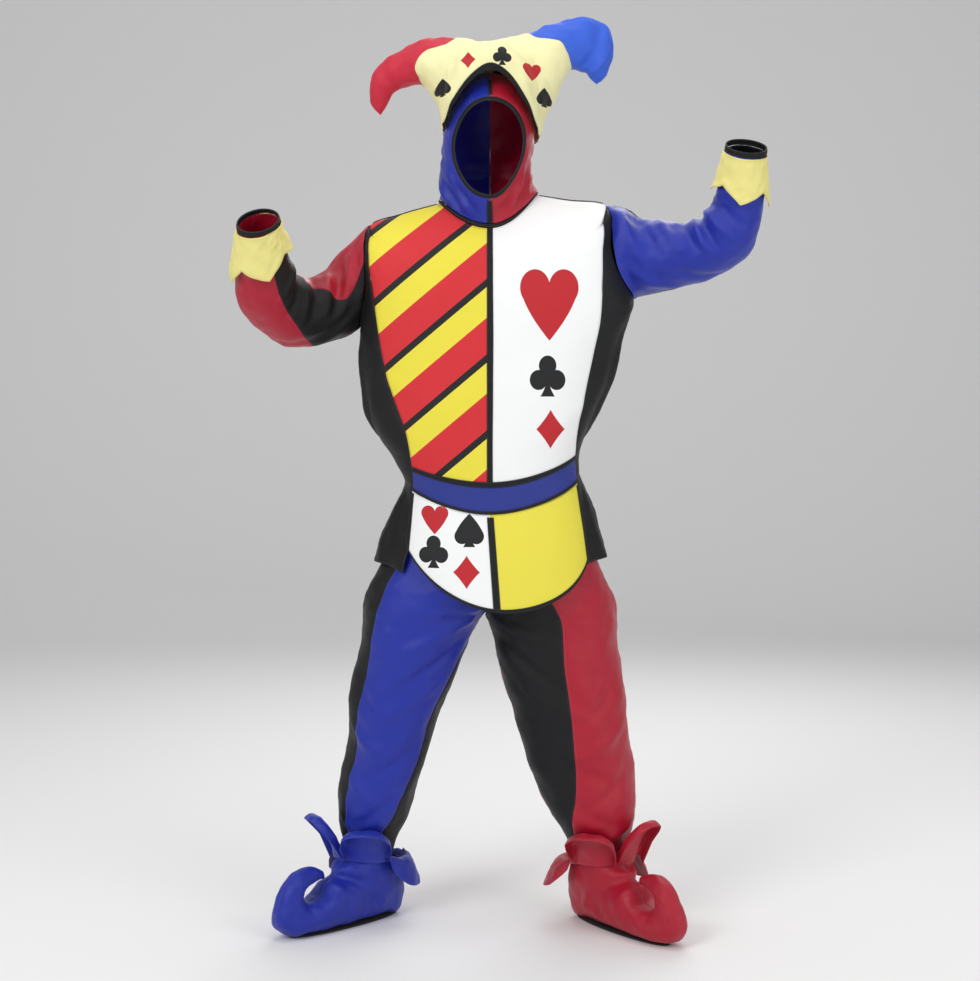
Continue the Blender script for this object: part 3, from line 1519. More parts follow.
@dataclass
class Tunic:
    """Stiff printed front, sides, back, belt, flap and skirt."""

    side_cells: int = 26
    back_cells: int = 48
    shoulder_half: float = 2.2
    tape_rows: tuple[float, float] = (9.08, 9.88)
    pieces: list[ClothPiece] = field(default_factory=list)

    @staticmethod
    def half(side: Side) -> Surface:
        """Half of the stiff front; only its outer columns reach up over the shoulder.

        Args:
            side: which half.

        Returns:
            Its surface.
        """
        def surface(s: Grid, v: Grid) -> Grid:
            """Point at the share s between the middle seam and the side seam.

            Args:
                s: share across.
                v: section number.

            Returns:
                Points in millimetres.
            """
            share = s if side is Side.RIGHT else 1 - s
            edge = front_edge(side, np.maximum(v, ARM_ROWS[1]))
            corner = front_edge(side, v) - edge
            return torso_point(side.value * (share * edge + corner * share ** 10), v)

        return surface

    def front(self) -> None:
        """The two foam panels and the tape down their seam."""
        foam = dict(rows=BODY_ROWS, columns=44, thick=FOAM_THICK, folds=FRONT_FOLDS, pucker=0.1, level=True,
                    groove=0.5, held=Held.STRETCHED, rests_on=("back_right", "back_left"))
        fronts = (("striped_front", Side.RIGHT, FOAM_STRIPE, "front_striped"),
                  ("card_front", Side.LEFT, FOAM_WHITE, "front_card"))
        for name, side, finish, node in fronts:
            self.pieces.append(ClothPiece(name, self.half(side), finish=finish, nodes=(node,), **foam))

        def tape(s: Grid, v: Grid) -> Grid:
            """Point at the share s across the tape."""
            half = TAPE_HALF / TORSO.at("aR", v) / DEG
            return torso_point(mix(-half, half, s), v)

        self.tape("front_seam_tape", tape, np.linspace(0.03, 8.95, 120), 6, "centre_tape", FRONT_FOLDS)

    def tape(self, name: str, surface: Surface, rows: Grid, columns: int, node: str, folds: Folds) -> None:
        """A binding tape that lies on a panel.

        Args:
            name: the piece's name.
            surface: where it lies.
            rows: its rows.
            columns: cells across it.
            node: the CAD node that it stands for.
            folds: the panel's folds, which it follows.
        """
        self.pieces.append(ClothPiece(name, surface, rows, columns, TAPE_BLACK, (node,), thick=TAPE_THICK,
                                      high=TAPE_LIE + TAPE_THICK, folds=folds, groove=0.5, pucker=0.1,
                                      held=Held.STRETCHED, rests_on=("striped_front",)))

    def belt(self) -> None:
        """The blue belt across the front, with a tape on each edge."""
        def band(s: Grid, v: Grid) -> Grid:
            """Point at the share s from the wearer's left.

            Args:
                s: share across.
                v: section number.

            Returns:
                Points in millimetres.
            """
            left = -front_edge(Side.LEFT, v) * (1 - 2 * s)
            right = front_edge(Side.RIGHT, v) * (2 * s - 1)
            return torso_point(np.where(s < 0.5, left, right), v)

        rows = np.linspace(BELT_TOP, BELT_BOTTOM, 14)
        self.pieces.append(ClothPiece("blue_belt", band, rows, 90, BELT_BLUE, ("belt_front",),
                                      thick=FOAM_THICK, folds=FRONT_FOLDS, pucker=0.2, held=Held.STRETCHED,
                                      rests_on=("striped_front", "card_front")))
        upper, lower = self.tape_rows
        tapes = (("belt_tape_upper", np.linspace(8.92, upper, 7), "belt_top_tape"),
                 ("belt_tape_lower", np.linspace(lower, BELT_BOTTOM, 6), "belt_bottom_tape"))
        for name, rows, node in tapes:
            self.tape(name, band, rows, 90, node, FRONT_FOLDS)

    def sides_and_back(self) -> None:
        """Black side fronts, the red and the black back, and the tapes on the shoulders."""
        waist = refine([BELT_TOP, *self.tape_rows], 5)[1:]
        side_rows = np.concatenate([ARM_ROWS, LOW_ROWS, waist])
        back_rows = np.concatenate([BODY_ROWS, waist])
        for side in Side:
            word = side.name.lower()
            edge, arm_front, arm_back = self.seams(side)
            front, back = (edge, arm_front), (arm_back, still(180 * side.value))
            if side is Side.LEFT:
                front, back = front[::-1], back[::-1]
            finish = RED_SATIN if side is Side.RIGHT else BLACK_SATIN
            panels = (
                (f"side_{word}", front, side_rows, self.side_cells, BLACK_SATIN, f"side_front_{word}",
                 ("striped_front", f"back_{word}")),
                (f"back_panel_{word}", back, back_rows, self.back_cells, finish, f"back_{word}",
                 ("striped_front", "card_front")),
            )
            for name, limits, rows, cells, cloth, node, rests_on in panels:
                self.pieces.append(ClothPiece(name, strip(torso_point, *limits), rows, cells, cloth, (node,),
                                              folds=BACK_FOLDS, rests_on=rests_on))
            middle = side.value * SHOULDER_SEAM
            tape = strip(torso_point, still(middle - self.shoulder_half), still(middle + self.shoulder_half))
            self.tape(f"shoulder_tape_{word}_cloth", tape, refine([0.12, 0.7, 1.4, 1.9], 8), 5,
                      f"shoulder_tape_{word}", FRONT_FOLDS)

    @staticmethod
    def seams(side: Side) -> tuple[Limit, Limit, Limit]:
        """Angles of the front panel's edge, and of the armhole's front and back edges.

        Args:
            side: the wearer's side.

        Returns:
            The three limits, with the side's sign.
        """
        def edge(v: Grid) -> Grid:
            """Edge of the stiff front."""
            return side.value * front_edge(side, v)

        def arm_front(v: Grid) -> Grid:
            """Front edge of the armhole."""
            return side.value * (90 - ARMHOLE.half_spread(v))

        def arm_back(v: Grid) -> Grid:
            """Shoulder seam, and below it the back edge of the armhole."""
            return side.value * np.where(v <= 2, SHOULDER_SEAM, 90 + ARMHOLE.half_spread(v))

        return edge, arm_front, arm_back

    def flap(self) -> None:
        """The two-coloured flap with its bindings."""
        seam = FLAP.seam()
        folds = Folds(FLAP.point, creases((((0.2, 0.2), (0.3, 0.9)), 1.5, 22)), uneven=0.7, size=160, seed=6)
        foam = dict(columns=40, thick=FOAM_THICK, folds=folds, groove=0.3, pucker=0.1, held=Held.HUNG,
                    rests_on=("blue_belt",))
        rows = np.linspace(0, 1, 50)
        halves = (("flap_half_yellow", (0, seam), FOAM_YELLOW, "flap_yellow"),
                  ("flap_half_card", (seam, 1), FOAM_WHITE, "flap_card"))
        for name, span, finish, node in halves:
            part = self.across(*span)
            self.pieces.append(ClothPiece(name, part, rows, finish=finish, nodes=(node,), **foam))
        sides = np.linspace(FLAP.bind_top, 1 - FLAP.bind_low, 44)
        low = np.linspace(1 - FLAP.bind_low, 1, 5)
        middle = (seam - FLAP.half_tape, seam + FLAP.half_tape)
        tapes = (
            ("flap_tape_middle", middle, sides, 5, "flap_centre_tape"),
            ("flap_tape_left", (0, FLAP.bind_side), sides, 4, "flap_binding_left"),
            ("flap_tape_right", (1 - FLAP.bind_side, 1), sides, 4, "flap_binding_right"),
            ("flap_tape_low", (0, 1), low, 80, "flap_binding_low"),
        )
        for name, span, along, cells, node in tapes:
            self.tape(name, self.across(*span), along, cells, node, folds)

    @staticmethod
    def across(start: float, end: float) -> Surface:
        """A part of the flap.

        Args:
            start: share across the flap where it begins.
            end: share where it ends.

        Returns:
            Its surface.
        """
        def surface(s: Grid, t: Grid) -> Grid:
            """Point at the share s across the part and t down."""
            return FLAP.point(mix(start, end, s), t)

        return surface

    def skirt(self) -> None:
        """The black skirt at the sides and back."""
        pleats = ((76, 4), (98, -5), (118, 6), (139, -5), (158, 6), (176, -5),
                  (-76, -4), (-97, 5), (-115, -6), (-137, 6), (-157, -5))
        folds = Folds(torso_point, creases(*(
            (((at, 10.2), (at + 3, 11.6), (at + 1, 13.0)), depth, 12) for at, depth in pleats
        )), uneven=1.5, size=70, seed=8)
        rows = refine([self.tape_rows[1], 10, 10.7, 11.4, 12.2, SKIRT_HEM], 7)
        self.pieces.append(ClothPiece("skirt", skirt_point, rows, 150, BLACK_SATIN, ("tunic_skirt",),
                                      folds=folds, rests_on=("back_panel_right", "back_panel_left")))

    def build(self) -> None:
        """Makes every piece of the tunic."""
        for step in (self.front, self.belt, self.sides_and_back, self.flap, self.skirt):
            step()
        for piece in self.pieces:
            piece.build()


@dataclass
class Sleeves:
    """The harlequin right sleeve, the blue and black left sleeve, and both cuffs."""

    points_round: int = 4
    cuff_long: float = 88
    cuff_short: float = 60
    cuff_stand: float = 2.8
    cuff_flare: float = 9
    cuff_gap: float = 0.04
    binding: float = 0.35
    step: float = 360 / 14

    def folds(self, side: Side) -> Folds:
        """The sleeve's creases, gathered at the inside of its elbow.

        Args:
            side: which sleeve.

        Returns:
            The folds.
        """
        surface = SleeveSurface(side).point
        if side is Side.RIGHT:
            paths = (
                (((30, 0.8), (62, 1.7), (104, 2.3)), 6, 12), (((8, 1.3), (44, 2.2), (88, 2.9)), -6, 11),
                (((0, 2.2), (36, 2.9), (92, 3.3)), 6, 11), (((-8, 3.2), (34, 3.6), (96, 3.8)), -7, 10),
                (((-4, 4.1), (40, 4.3), (104, 4.2)), 6, 10), (((-6, 4.8), (38, 5.0), (110, 4.9)), -6, 10),
                (((-10, 5.6), (42, 5.7), (106, 5.6)), 5, 10), (((10, 6.4), (56, 6.6), (120, 6.3)), -4, 10),
                (((70, 7.3), (104, 7.1), (150, 7.2)), 4, 10), (((118, 1.2), (142, 2.2), (168, 3.2)), 5, 14),
                (((128, 3.0), (156, 3.8), (186, 4.4)), -5, 14), (((200, 1.4), (232, 2.4), (268, 3.2)), 6, 14),
                (((330, 1.6), (292, 2.8), (262, 3.8)), -6, 13), (((342, 3.4), (300, 4.2), (258, 4.6)), 6, 12),
                (((338, 5.0), (296, 5.2), (252, 5.5)), -5, 12), (((330, 6.4), (282, 6.6), (240, 6.8)), 5, 12),
            )
        else:
            paths = (
                (((22, 0.8), (60, 1.6), (112, 2.2)), 6, 13), (((-2, 1.6), (46, 2.4), (100, 3.0)), -6, 12),
                (((-6, 2.6), (40, 3.2), (96, 3.8)), 6, 11), (((-8, 3.6), (36, 4.0), (98, 4.4)), -7, 10),
                (((-6, 4.4), (38, 4.8), (104, 5.0)), 7, 10), (((-8, 5.2), (40, 5.5), (112, 5.5)), -6, 10),
                (((-6, 6.0), (44, 6.3), (116, 6.2)), 6, 10), (((-4, 6.9), (50, 7.1), (118, 6.9)), -5, 10),
                (((6, 7.8), (60, 7.9), (124, 7.7)), 4, 10), (((110, 1.2), (140, 2.4), (170, 3.4)), 5, 14),
                (((120, 3.4), (150, 4.2), (182, 5.0)), -5, 13), (((204, 1.4), (236, 2.6), (272, 3.4)), 6, 14),
                (((336, 1.8), (296, 3.0), (262, 4.0)), -6, 13), (((344, 3.6), (302, 4.4), (258, 5.0)), 6, 12),
                (((340, 5.2), (298, 5.6), (252, 5.9)), -6, 12), (((334, 6.8), (286, 7.0), (242, 7.2)), 5, 12),
            )
        return Folds(surface, creases(*paths), uneven=1.6, size=60, seed=11)

    def strip(self, side: Side, name: str, node: str, start: Sequence[float], end: Sequence[float],
              columns: int, finish: Finish, folds: Folds) -> ClothPiece:
        """One strip between two seams.

        Args:
            side: which sleeve.
            name: the piece's name.
            node: the CAD node that it stands for.
            start: angles of its first seam, from shoulder to wrist.
            end: angles of its second seam.
            columns: cells across it.
            finish: its cloth.
            folds: the sleeve's folds.

        Returns:
            The piece.
        """
        sleeve = SleeveSurface(side)
        last = sleeve.last - self.binding

        def surface(s: Grid, w: Grid) -> Grid:
            """Point at the share s between the seams."""
            place = w / last * (len(start) - 1)
            return sleeve.point(mix(track(start, place), track(end, place), s), w)

        return ClothPiece(name, surface, np.linspace(0, last, 96), columns, finish, (node,),
                          outward=-side.value, folds=folds, pucker=0.6,
                          rests_on=(f"back_panel_{side.name.lower()}",))

    def cuff(self, side: Side) -> list[ClothPiece]:
        """The pointed cuff, which stands off the sleeve, and the binding at the wrist.

        Args:
            side: which sleeve.

        Returns:
            The cuff and its binding.
        """
        sleeve = SleeveSurface(side)
        end = sleeve.last - self.binding
        word = side.name.lower()
        wrist, above = (sleeve.point(np.array([90.0]), np.array([w])) for w in (end, end - 2))
        per_row = float(np.linalg.norm(wrist - above)) / 2

        def surface(s: Grid, t: Grid) -> Grid:
            """Point of the cuff at the share s round the wrist and t down to its points.

            Args:
                s: share across.
                t: share along.

            Returns:
                Points in millimetres.
            """
            saw = np.abs((s * self.points_round) % 1 * 2 - 1)
            w = end - self.cuff_gap - mix(self.cuff_short, self.cuff_long, saw) / per_row * t
            p = sleeve.point(s * 360, w)
            ds = sleeve.point(s * 360 + 1, w) - sleeve.point(s * 360 - 1, w)
            dt = sleeve.point(s * 360, w + 0.02) - sleeve.point(s * 360, w - 0.02)
            away = np.cross(ds, dt) * -side.value
            away = away / np.linalg.norm(away, axis=-1, keepdims=True)
            return p + away * (self.cuff_stand + self.cuff_flare * t)[..., None]

        def rim(s: Grid, t: Grid) -> Grid:
            """Point of the binding at the share s round it and t outward."""
            return sleeve.point(s * 360, end + self.binding * t)

        wave = Folds(sleeve.point, (), uneven=1.4, size=34, seed=13)
        return [
            ClothPiece(f"cuff_points_{word}", surface, np.linspace(0, 1, 28), 36 * self.points_round,
                       CUFF_YELLOW, (f"cuff_{word}",), outward=side.value, thick=2.0, ring=True, folds=wave,
                       groove=0.3, pucker=0.2, rests_on=(f"wrist_tape_{word}",)),
            ClothPiece(f"wrist_tape_{word}", rim, np.linspace(0, 1, 6), 84, TAPE_BLACK,
                       (f"cuff_binding_{word}",), outward=-side.value, thick=2.6, high=1.8, ring=True,
                       held=Held.STRETCHED, rests_on=(f"cuff_points_{word}",)),
        ]

    def build(self) -> None:
        """Makes both sleeves and cuffs."""
        seam, upper, band = (
            [number * self.step for number in numbers]
            for numbers in ((-4, -4, -4, -4, -4), (3, 3, 0.6, -0.5, -0.5), (7, 7, 4.3, 3, 2.4))
        )
        under = [180, 180, 190, 195, 190]
        strips = {
            Side.RIGHT: (("upper", seam, upper, 60, RED_SATIN), ("band", upper, band, 46, BLACK_SATIN),
                         ("lower", band, [angle + 360 for angle in seam], 50, RED_SATIN)),
            Side.LEFT: (("front", [0] * 5, under, 62, BLUE_SATIN),
                        ("back", under, [360] * 5, 62, BLACK_SATIN)),
        }
        pieces = []
        for side, rows in strips.items():
            word, folds = side.name.lower(), self.folds(side)
            for label, start, end, cells, finish in rows:
                pieces.append(self.strip(side, f"{word}_sleeve_{label}", f"sleeve_{word}_{label}", start, end,
                                         cells, finish, folds))
        for piece in (*pieces, *self.cuff(Side.RIGHT), *self.cuff(Side.LEFT)):
            piece.build()


@dataclass
class Hood:
    """The two-coloured hood with its face opening, tapes and neck binding."""

    crown_gap: float = 1.1
    tape_half: float = 3.4

    def half(self, side: Side) -> Surface:
        """Half of the hood, from the face opening to the middle of the back.

        Args:
            side: which half.

        Returns:
            Its surface.
        """
        sign = side.value

        def surface(s: Grid, v: Grid) -> Grid:
            """Point at the share s from the face, kept apart from the other half at the crown.

            Args:
                s: share across.
                v: section number.

            Returns:
                Points in millimetres.
            """
            p = hood_point(sign * mix(FACE.half_spread(v), 180, s), v)
            p[..., 0] -= sign * self.crown_gap * ease(8.8, 10, v)
            return p

        return surface

    def build(self) -> None:
        """Makes the hood."""
        paths = (
            (((24, 0.5), (40, 1.5), (58, 2.6)), 5, 9), (((36, 0.3), (54, 1.2), (74, 2.0)), -5, 9),
            (((52, 0.3), (70, 0.9), (92, 1.5)), 5, 9), (((12, 0.6), (26, 1.3), (44, 2.0)), -4, 8),
            (((60, 2.8), (78, 3.0), (100, 2.7)), -4, 12), (((110, 1.0), (138, 1.5), (168, 1.6)), 5, 12),
            (((118, 2.2), (146, 2.6), (172, 2.5)), -5, 13),
        )
        mirrored = tuple((tuple((-a, v) for a, v in path), depth, width) for path, depth, width in paths)
        folds = Folds(hood_point, creases(*paths, *mirrored), uneven=1.3, size=55, seed=21)
        neck, top = refine([0, 0.65, 1.3, 1.86], 6), refine([6.54, 7.2, 8, 8.8, 9.4, 10], 5)
        rows = np.concatenate([neck[:-1], FACE.rows(40), top[1:]])
        for side, finish in ((Side.RIGHT, BLUE_SATIN), (Side.LEFT, RED_SATIN)):
            word = side.name.lower()
            ClothPiece(f"hood_half_{word}", self.half(side), rows, 56, finish, (f"hood_{word}",),
                       outward=-side.value, folds=folds, pucker=0.6, held=Held.GATHERED,
                       rests_on=("striped_front",)).build()
        ClothPiece("face_edging", FACE.rim, np.linspace(0, 1, 6), 120, TAPE_BLACK, ("face_binding",),
                   thick=2.6, high=1.8, ring=True, pucker=0.15, rests_on=("hood_half_right",),
                   held=Held.STRETCHED).build()

        def ridge(s: Grid, v: Grid) -> Grid:
            """Point at the share s across the tape over the middle seam."""
            return hood_point(mix(-1, 1, s) * self.tape_half, v)

        for name, node, start, end in (("chin_tape_cloth", "chin_tape", 0.05, 1.72),
                                       ("forehead_tape_cloth", "forehead_tape", 6.68, 7.9)):
            ClothPiece(name, ridge, np.linspace(start, end, 18), 5, TAPE_BLACK, (node,), outward=-1,
                       thick=TAPE_THICK, high=TAPE_LIE + TAPE_THICK, pucker=0.1, held=Held.STRETCHED,
                       rests_on=("hood_half_right",)).build()

        def collar(s: Grid, t: Grid) -> Grid:
            """Point between the tunic's neck and the hood's foot."""
            low, high = torso_point(s * 360, 0 * s), hood_point(s * 360, 0 * s)
            return mix(low, high, mix(0.08, 0.86, t)[..., None])

        ClothPiece("neck_tape", collar, np.linspace(0, 1, 7), 132, TAPE_BLACK, ("neck_binding",), outward=-1,
                   thick=2.6, high=1.6, ring=True, pucker=0.2, held=Held.STRETCHED,
                   rests_on=("striped_front", "card_front")).build()


@dataclass
class Hat:
    """The horned hat: a cream crown, a red and a blue horn, and a bound lower edge."""

    brim_row: float = 0.92
    brim_first: float = 4 / 15
    brim_last: float = 10 / 15
    brim_lie: float = 2.3
    red_tip: float = 0
    blue_tip: float = 25
    red_seam: tuple[float, ...] = (8.6, 7.6, 5.2, 4.2, 4.6, 5)
    blue_seam: tuple[float, ...] = (15.4, 16.4, 18.6, 19.4, 19.8, 20)

    def seam(self, values: tuple[float, ...], f: Grid) -> Grid:
        """Section number of a horn's seam at the share f down the hat."""
        return track(values, np.asarray(f) * (len(values) - 1))

    def build(self) -> None:
        """Makes the hat."""
        paths = (
            (((2.6, 0.2), (2.4, 0.6), (3.0, 0.9)), -4, 12), (((4.4, 0.3), (4.2, 0.6), (4.8, 0.9)), 4, 12),
            (((21.4, 0.2), (21.8, 0.6), (21.0, 0.9)), -4, 12),
            (((23.2, 0.3), (23.0, 0.7), (22.6, 0.9)), 4, 9),
            (((7.6, 0.85), (9.6, 0.6), (11.4, 0.5)), 3, 14),
            (((17.2, 0.85), (15.2, 0.6), (13.4, 0.5)), 3, 14),
            (((18.2, 0.4), (19.0, 0.7), (18.6, 0.95)), 4, 12), (((6.2, 0.4), (5.6, 0.7), (6.0, 0.95)), 4, 12),
        )
        folds = Folds(partial(hat_point, way=-1), creases(*paths), uneven=2.2, size=60, seed=31)
        rows = refine([0, 0.16, 0.32, 0.48, 0.64, 0.79, self.brim_row, 1], 6)
        for word, way in (("front", -1), ("back", 1)):
            ClothPiece(f"hat_crown_{word}", self.crown(way), rows, 88, CROWN_CREAM, (f"crown_{word}",),
                       outward=way, high=CROWN_THICK, thick=CROWN_THICK, folds=folds, pucker=0.3,
                       held=Held.STRETCHED, rests_on=("hood_half_right", "hood_half_left")).build()
            ClothPiece(f"hat_edging_{word}", self.brim(way), np.linspace(0, 1, 14), 60, TAPE_BLACK,
                       (f"crown_binding_{word}",), outward=way, thick=TAPE_THICK,
                       high=self.brim_lie + TAPE_THICK, folds=folds, pucker=0.1, held=Held.STRETCHED,
                       rests_on=(f"hat_crown_{word}",)).build()
        horns = (("red", self.red_seam, self.red_tip, -1, HORN_RED),
                 ("blue", self.blue_seam, self.blue_tip, 1, HORN_BLUE))
        for word, values, tip, sign, finish in horns:
            ClothPiece(f"hat_horn_{word}", self.horn(values, tip), np.linspace(0, 1, 60), 96, finish,
                       (f"horn_{word}",), outward=sign, thick=1.6, ring=True, folds=folds, pucker=0.5,
                       held=Held.FOLDED, rests_on=("hat_crown_front", "hat_crown_back")).build()

    def crown(self, way: int) -> Surface:
        """Front or back of the crown, between the horns' seams.

        Args:
            way: -1 in front and 1 behind.

        Returns:
            Its surface.
        """
        def surface(s: Grid, f: Grid) -> Grid:
            """Point at the share s between the seams and f down."""
            return hat_point(mix(self.seam(self.red_seam, f), self.seam(self.blue_seam, f), s), f, way)

        return surface

    def brim(self, way: int) -> Surface:
        """The bound lower edge of the crown.

        Args:
            way: -1 in front and 1 behind.

        Returns:
            Its surface.
        """
        crown = self.crown(way)

        def surface(s: Grid, t: Grid) -> Grid:
            """Point at the share s along the edge and t down."""
            return crown(mix(self.brim_first, self.brim_last, s), mix(self.brim_row, 1, t))

        return surface

    def horn(self, values: tuple[float, ...], tip: float) -> Surface:
        """A horn, from its seam to its tip.

        Args:
            values: its seam's section numbers from top to bottom.
            tip: its tip's section number.

        Returns:
            Its surface.
        """
        def surface(s: Grid, t: Grid) -> Grid:
            """Point at the share s round the horn and t to the tip.

            Args:
                s: share across.
                t: share along.

            Returns:
                Points in millimetres.
            """
            turn = (s % 1) * 2
            f = np.where(turn < 1, turn, 2 - turn)
            return hat_point(mix(self.seam(values, f), tip, t), f, np.where(turn < 1, -1, 1))

        return surface


@dataclass
class Trousers:
    """Two legs, each a front gore and a wrap round the outside and back."""

    def folds(self, side: Side) -> Folds:
        """Creases that run from the crotch, knee and hem.

        Args:
            side: which leg.

        Returns:
            The folds.
        """
        paths = (
            (((-64, 4.7), (-30, 5.2), (10, 5.8)), 6, 14), (((-60, 5.4), (-26, 6.1), (14, 6.9)), -6, 14),
            (((-70, 3.8), (-36, 4.0), (4, 4.0)), 5, 14), (((-52, 6.4), (-16, 7.0), (24, 7.4)), 5, 13),
            (((50, 6.6), (24, 7.2), (-14, 7.6)), -5, 13), (((64, 7.4), (30, 8.0), (-10, 8.3)), 6, 13),
            (((-40, 7.9), (-8, 8.6), (28, 8.9)), -5, 13), (((60, 8.6), (28, 9.2), (-6, 9.6)), 5, 12),
            (((-34, 9.2), (0, 9.9), (34, 10.2)), -5, 12), (((70, 9.9), (36, 10.4), (0, 10.6)), 5, 11),
            (((-30, 10.6), (6, 11.0), (44, 11.1)), -4, 9), (((80, 3.2), (96, 4.4), (104, 5.6)), 6, 16),
            (((92, 5.6), (110, 6.8), (120, 8.0)), -6, 15), (((100, 8.2), (122, 9.2), (140, 10.0)), 6, 14),
            (((150, 2.2), (166, 3.2), (188, 4.2)), -6, 16), (((230, 4.8), (204, 5.6), (168, 6.2)), 7, 16),
            (((236, 6.2), (206, 7.2), (170, 7.8)), -6, 15), (((150, 7.4), (184, 8.2), (222, 8.6)), 6, 14),
            (((240, 8.6), (206, 9.4), (170, 9.8)), -5, 13), (((140, 10.2), (178, 10.7), (214, 10.8)), 5, 11),
        )
        rows = ((path, depth * side.value if n % 5 == 2 else depth, width)
                for n, (path, depth, width) in enumerate(paths))
        return Folds(partial(leg_point, side), creases(*rows), uneven=2.4, size=90,
                     seed=41 if side is Side.RIGHT else 47)

    @staticmethod
    def seams(side: Side) -> tuple[Limit, Limit, Limit]:
        """Angles of a leg's inner seam, its outer seam and its inner seam again, once round.

        Args:
            side: which leg.

        Returns:
            The three limits.
        """
        def inner(v: Grid) -> Grid:
            """The middle seam above the crotch, the inseam below it."""
            return np.where(v < CROTCH_ROW, -seam_angle(side, v), track(INSEAM[side], v))

        def outer(v: Grid) -> Grid:
            """The gore's outer edge."""
            return track(GORE_EDGE[side], v)

        def behind(v: Grid) -> Grid:
            """The inner seam, reached round the back."""
            return np.where(v < CROTCH_ROW, 180 + seam_angle(side, v), 360 + track(INSEAM[side], v))

        return inner, outer, behind

    @staticmethod
    def gore(side: Side, start: Limit, end: Limit) -> Surface:
        """A leg's gore, held back from the middle seam.

        Args:
            side: which leg.
            start: angle where it begins at a section.
            end: angle where it ends.

        Returns:
            Its surface.
        """
        limit = SEAM_X - side.value * SEAM_GAP

        def surface(s: Grid, v: Grid) -> Grid:
            """Point at the share s between the limits.

            Args:
                s: share across.
                v: section number.

            Returns:
                Points in millimetres.
            """
            p = leg_point(side, mix(start(v), end(v), s), v)
            held = np.minimum(p[..., 0], limit) if side is Side.RIGHT else np.maximum(p[..., 0], limit)
            p[..., 0] = np.where(v < CROTCH_ROW + 0.6, held, p[..., 0])
            return p

        return surface

    def build(self) -> None:
        """Makes both legs."""
        rows = refine([0, 1, 2, 2.7, 3.3, 3.9, 4.4, CROTCH_ROW, 5.4, 6.2, 7, 8, 9, 10, 11, 12], 8)
        for side in Side:
            word, folds = side.name.lower(), self.folds(side)
            inner, outer, behind = self.seams(side)
            front, wrap = (BLUE_SATIN, BLACK_SATIN) if side is Side.RIGHT else (BLACK_SATIN, RED_SATIN)
            gores = ((f"leg_gore_{word}", inner, outer, 46, front, f"leg_{word}_front"),
                     (f"leg_wrap_{word}", outer, behind, 84, wrap, f"leg_{word}_wrap"))
            for name, start, end, cells, finish, node in gores:
                ClothPiece(name, self.gore(side, start, end), rows, cells, finish, (node,),
                           outward=side.value, folds=folds, pucker=0.7, rests_on=("skirt",)).build()


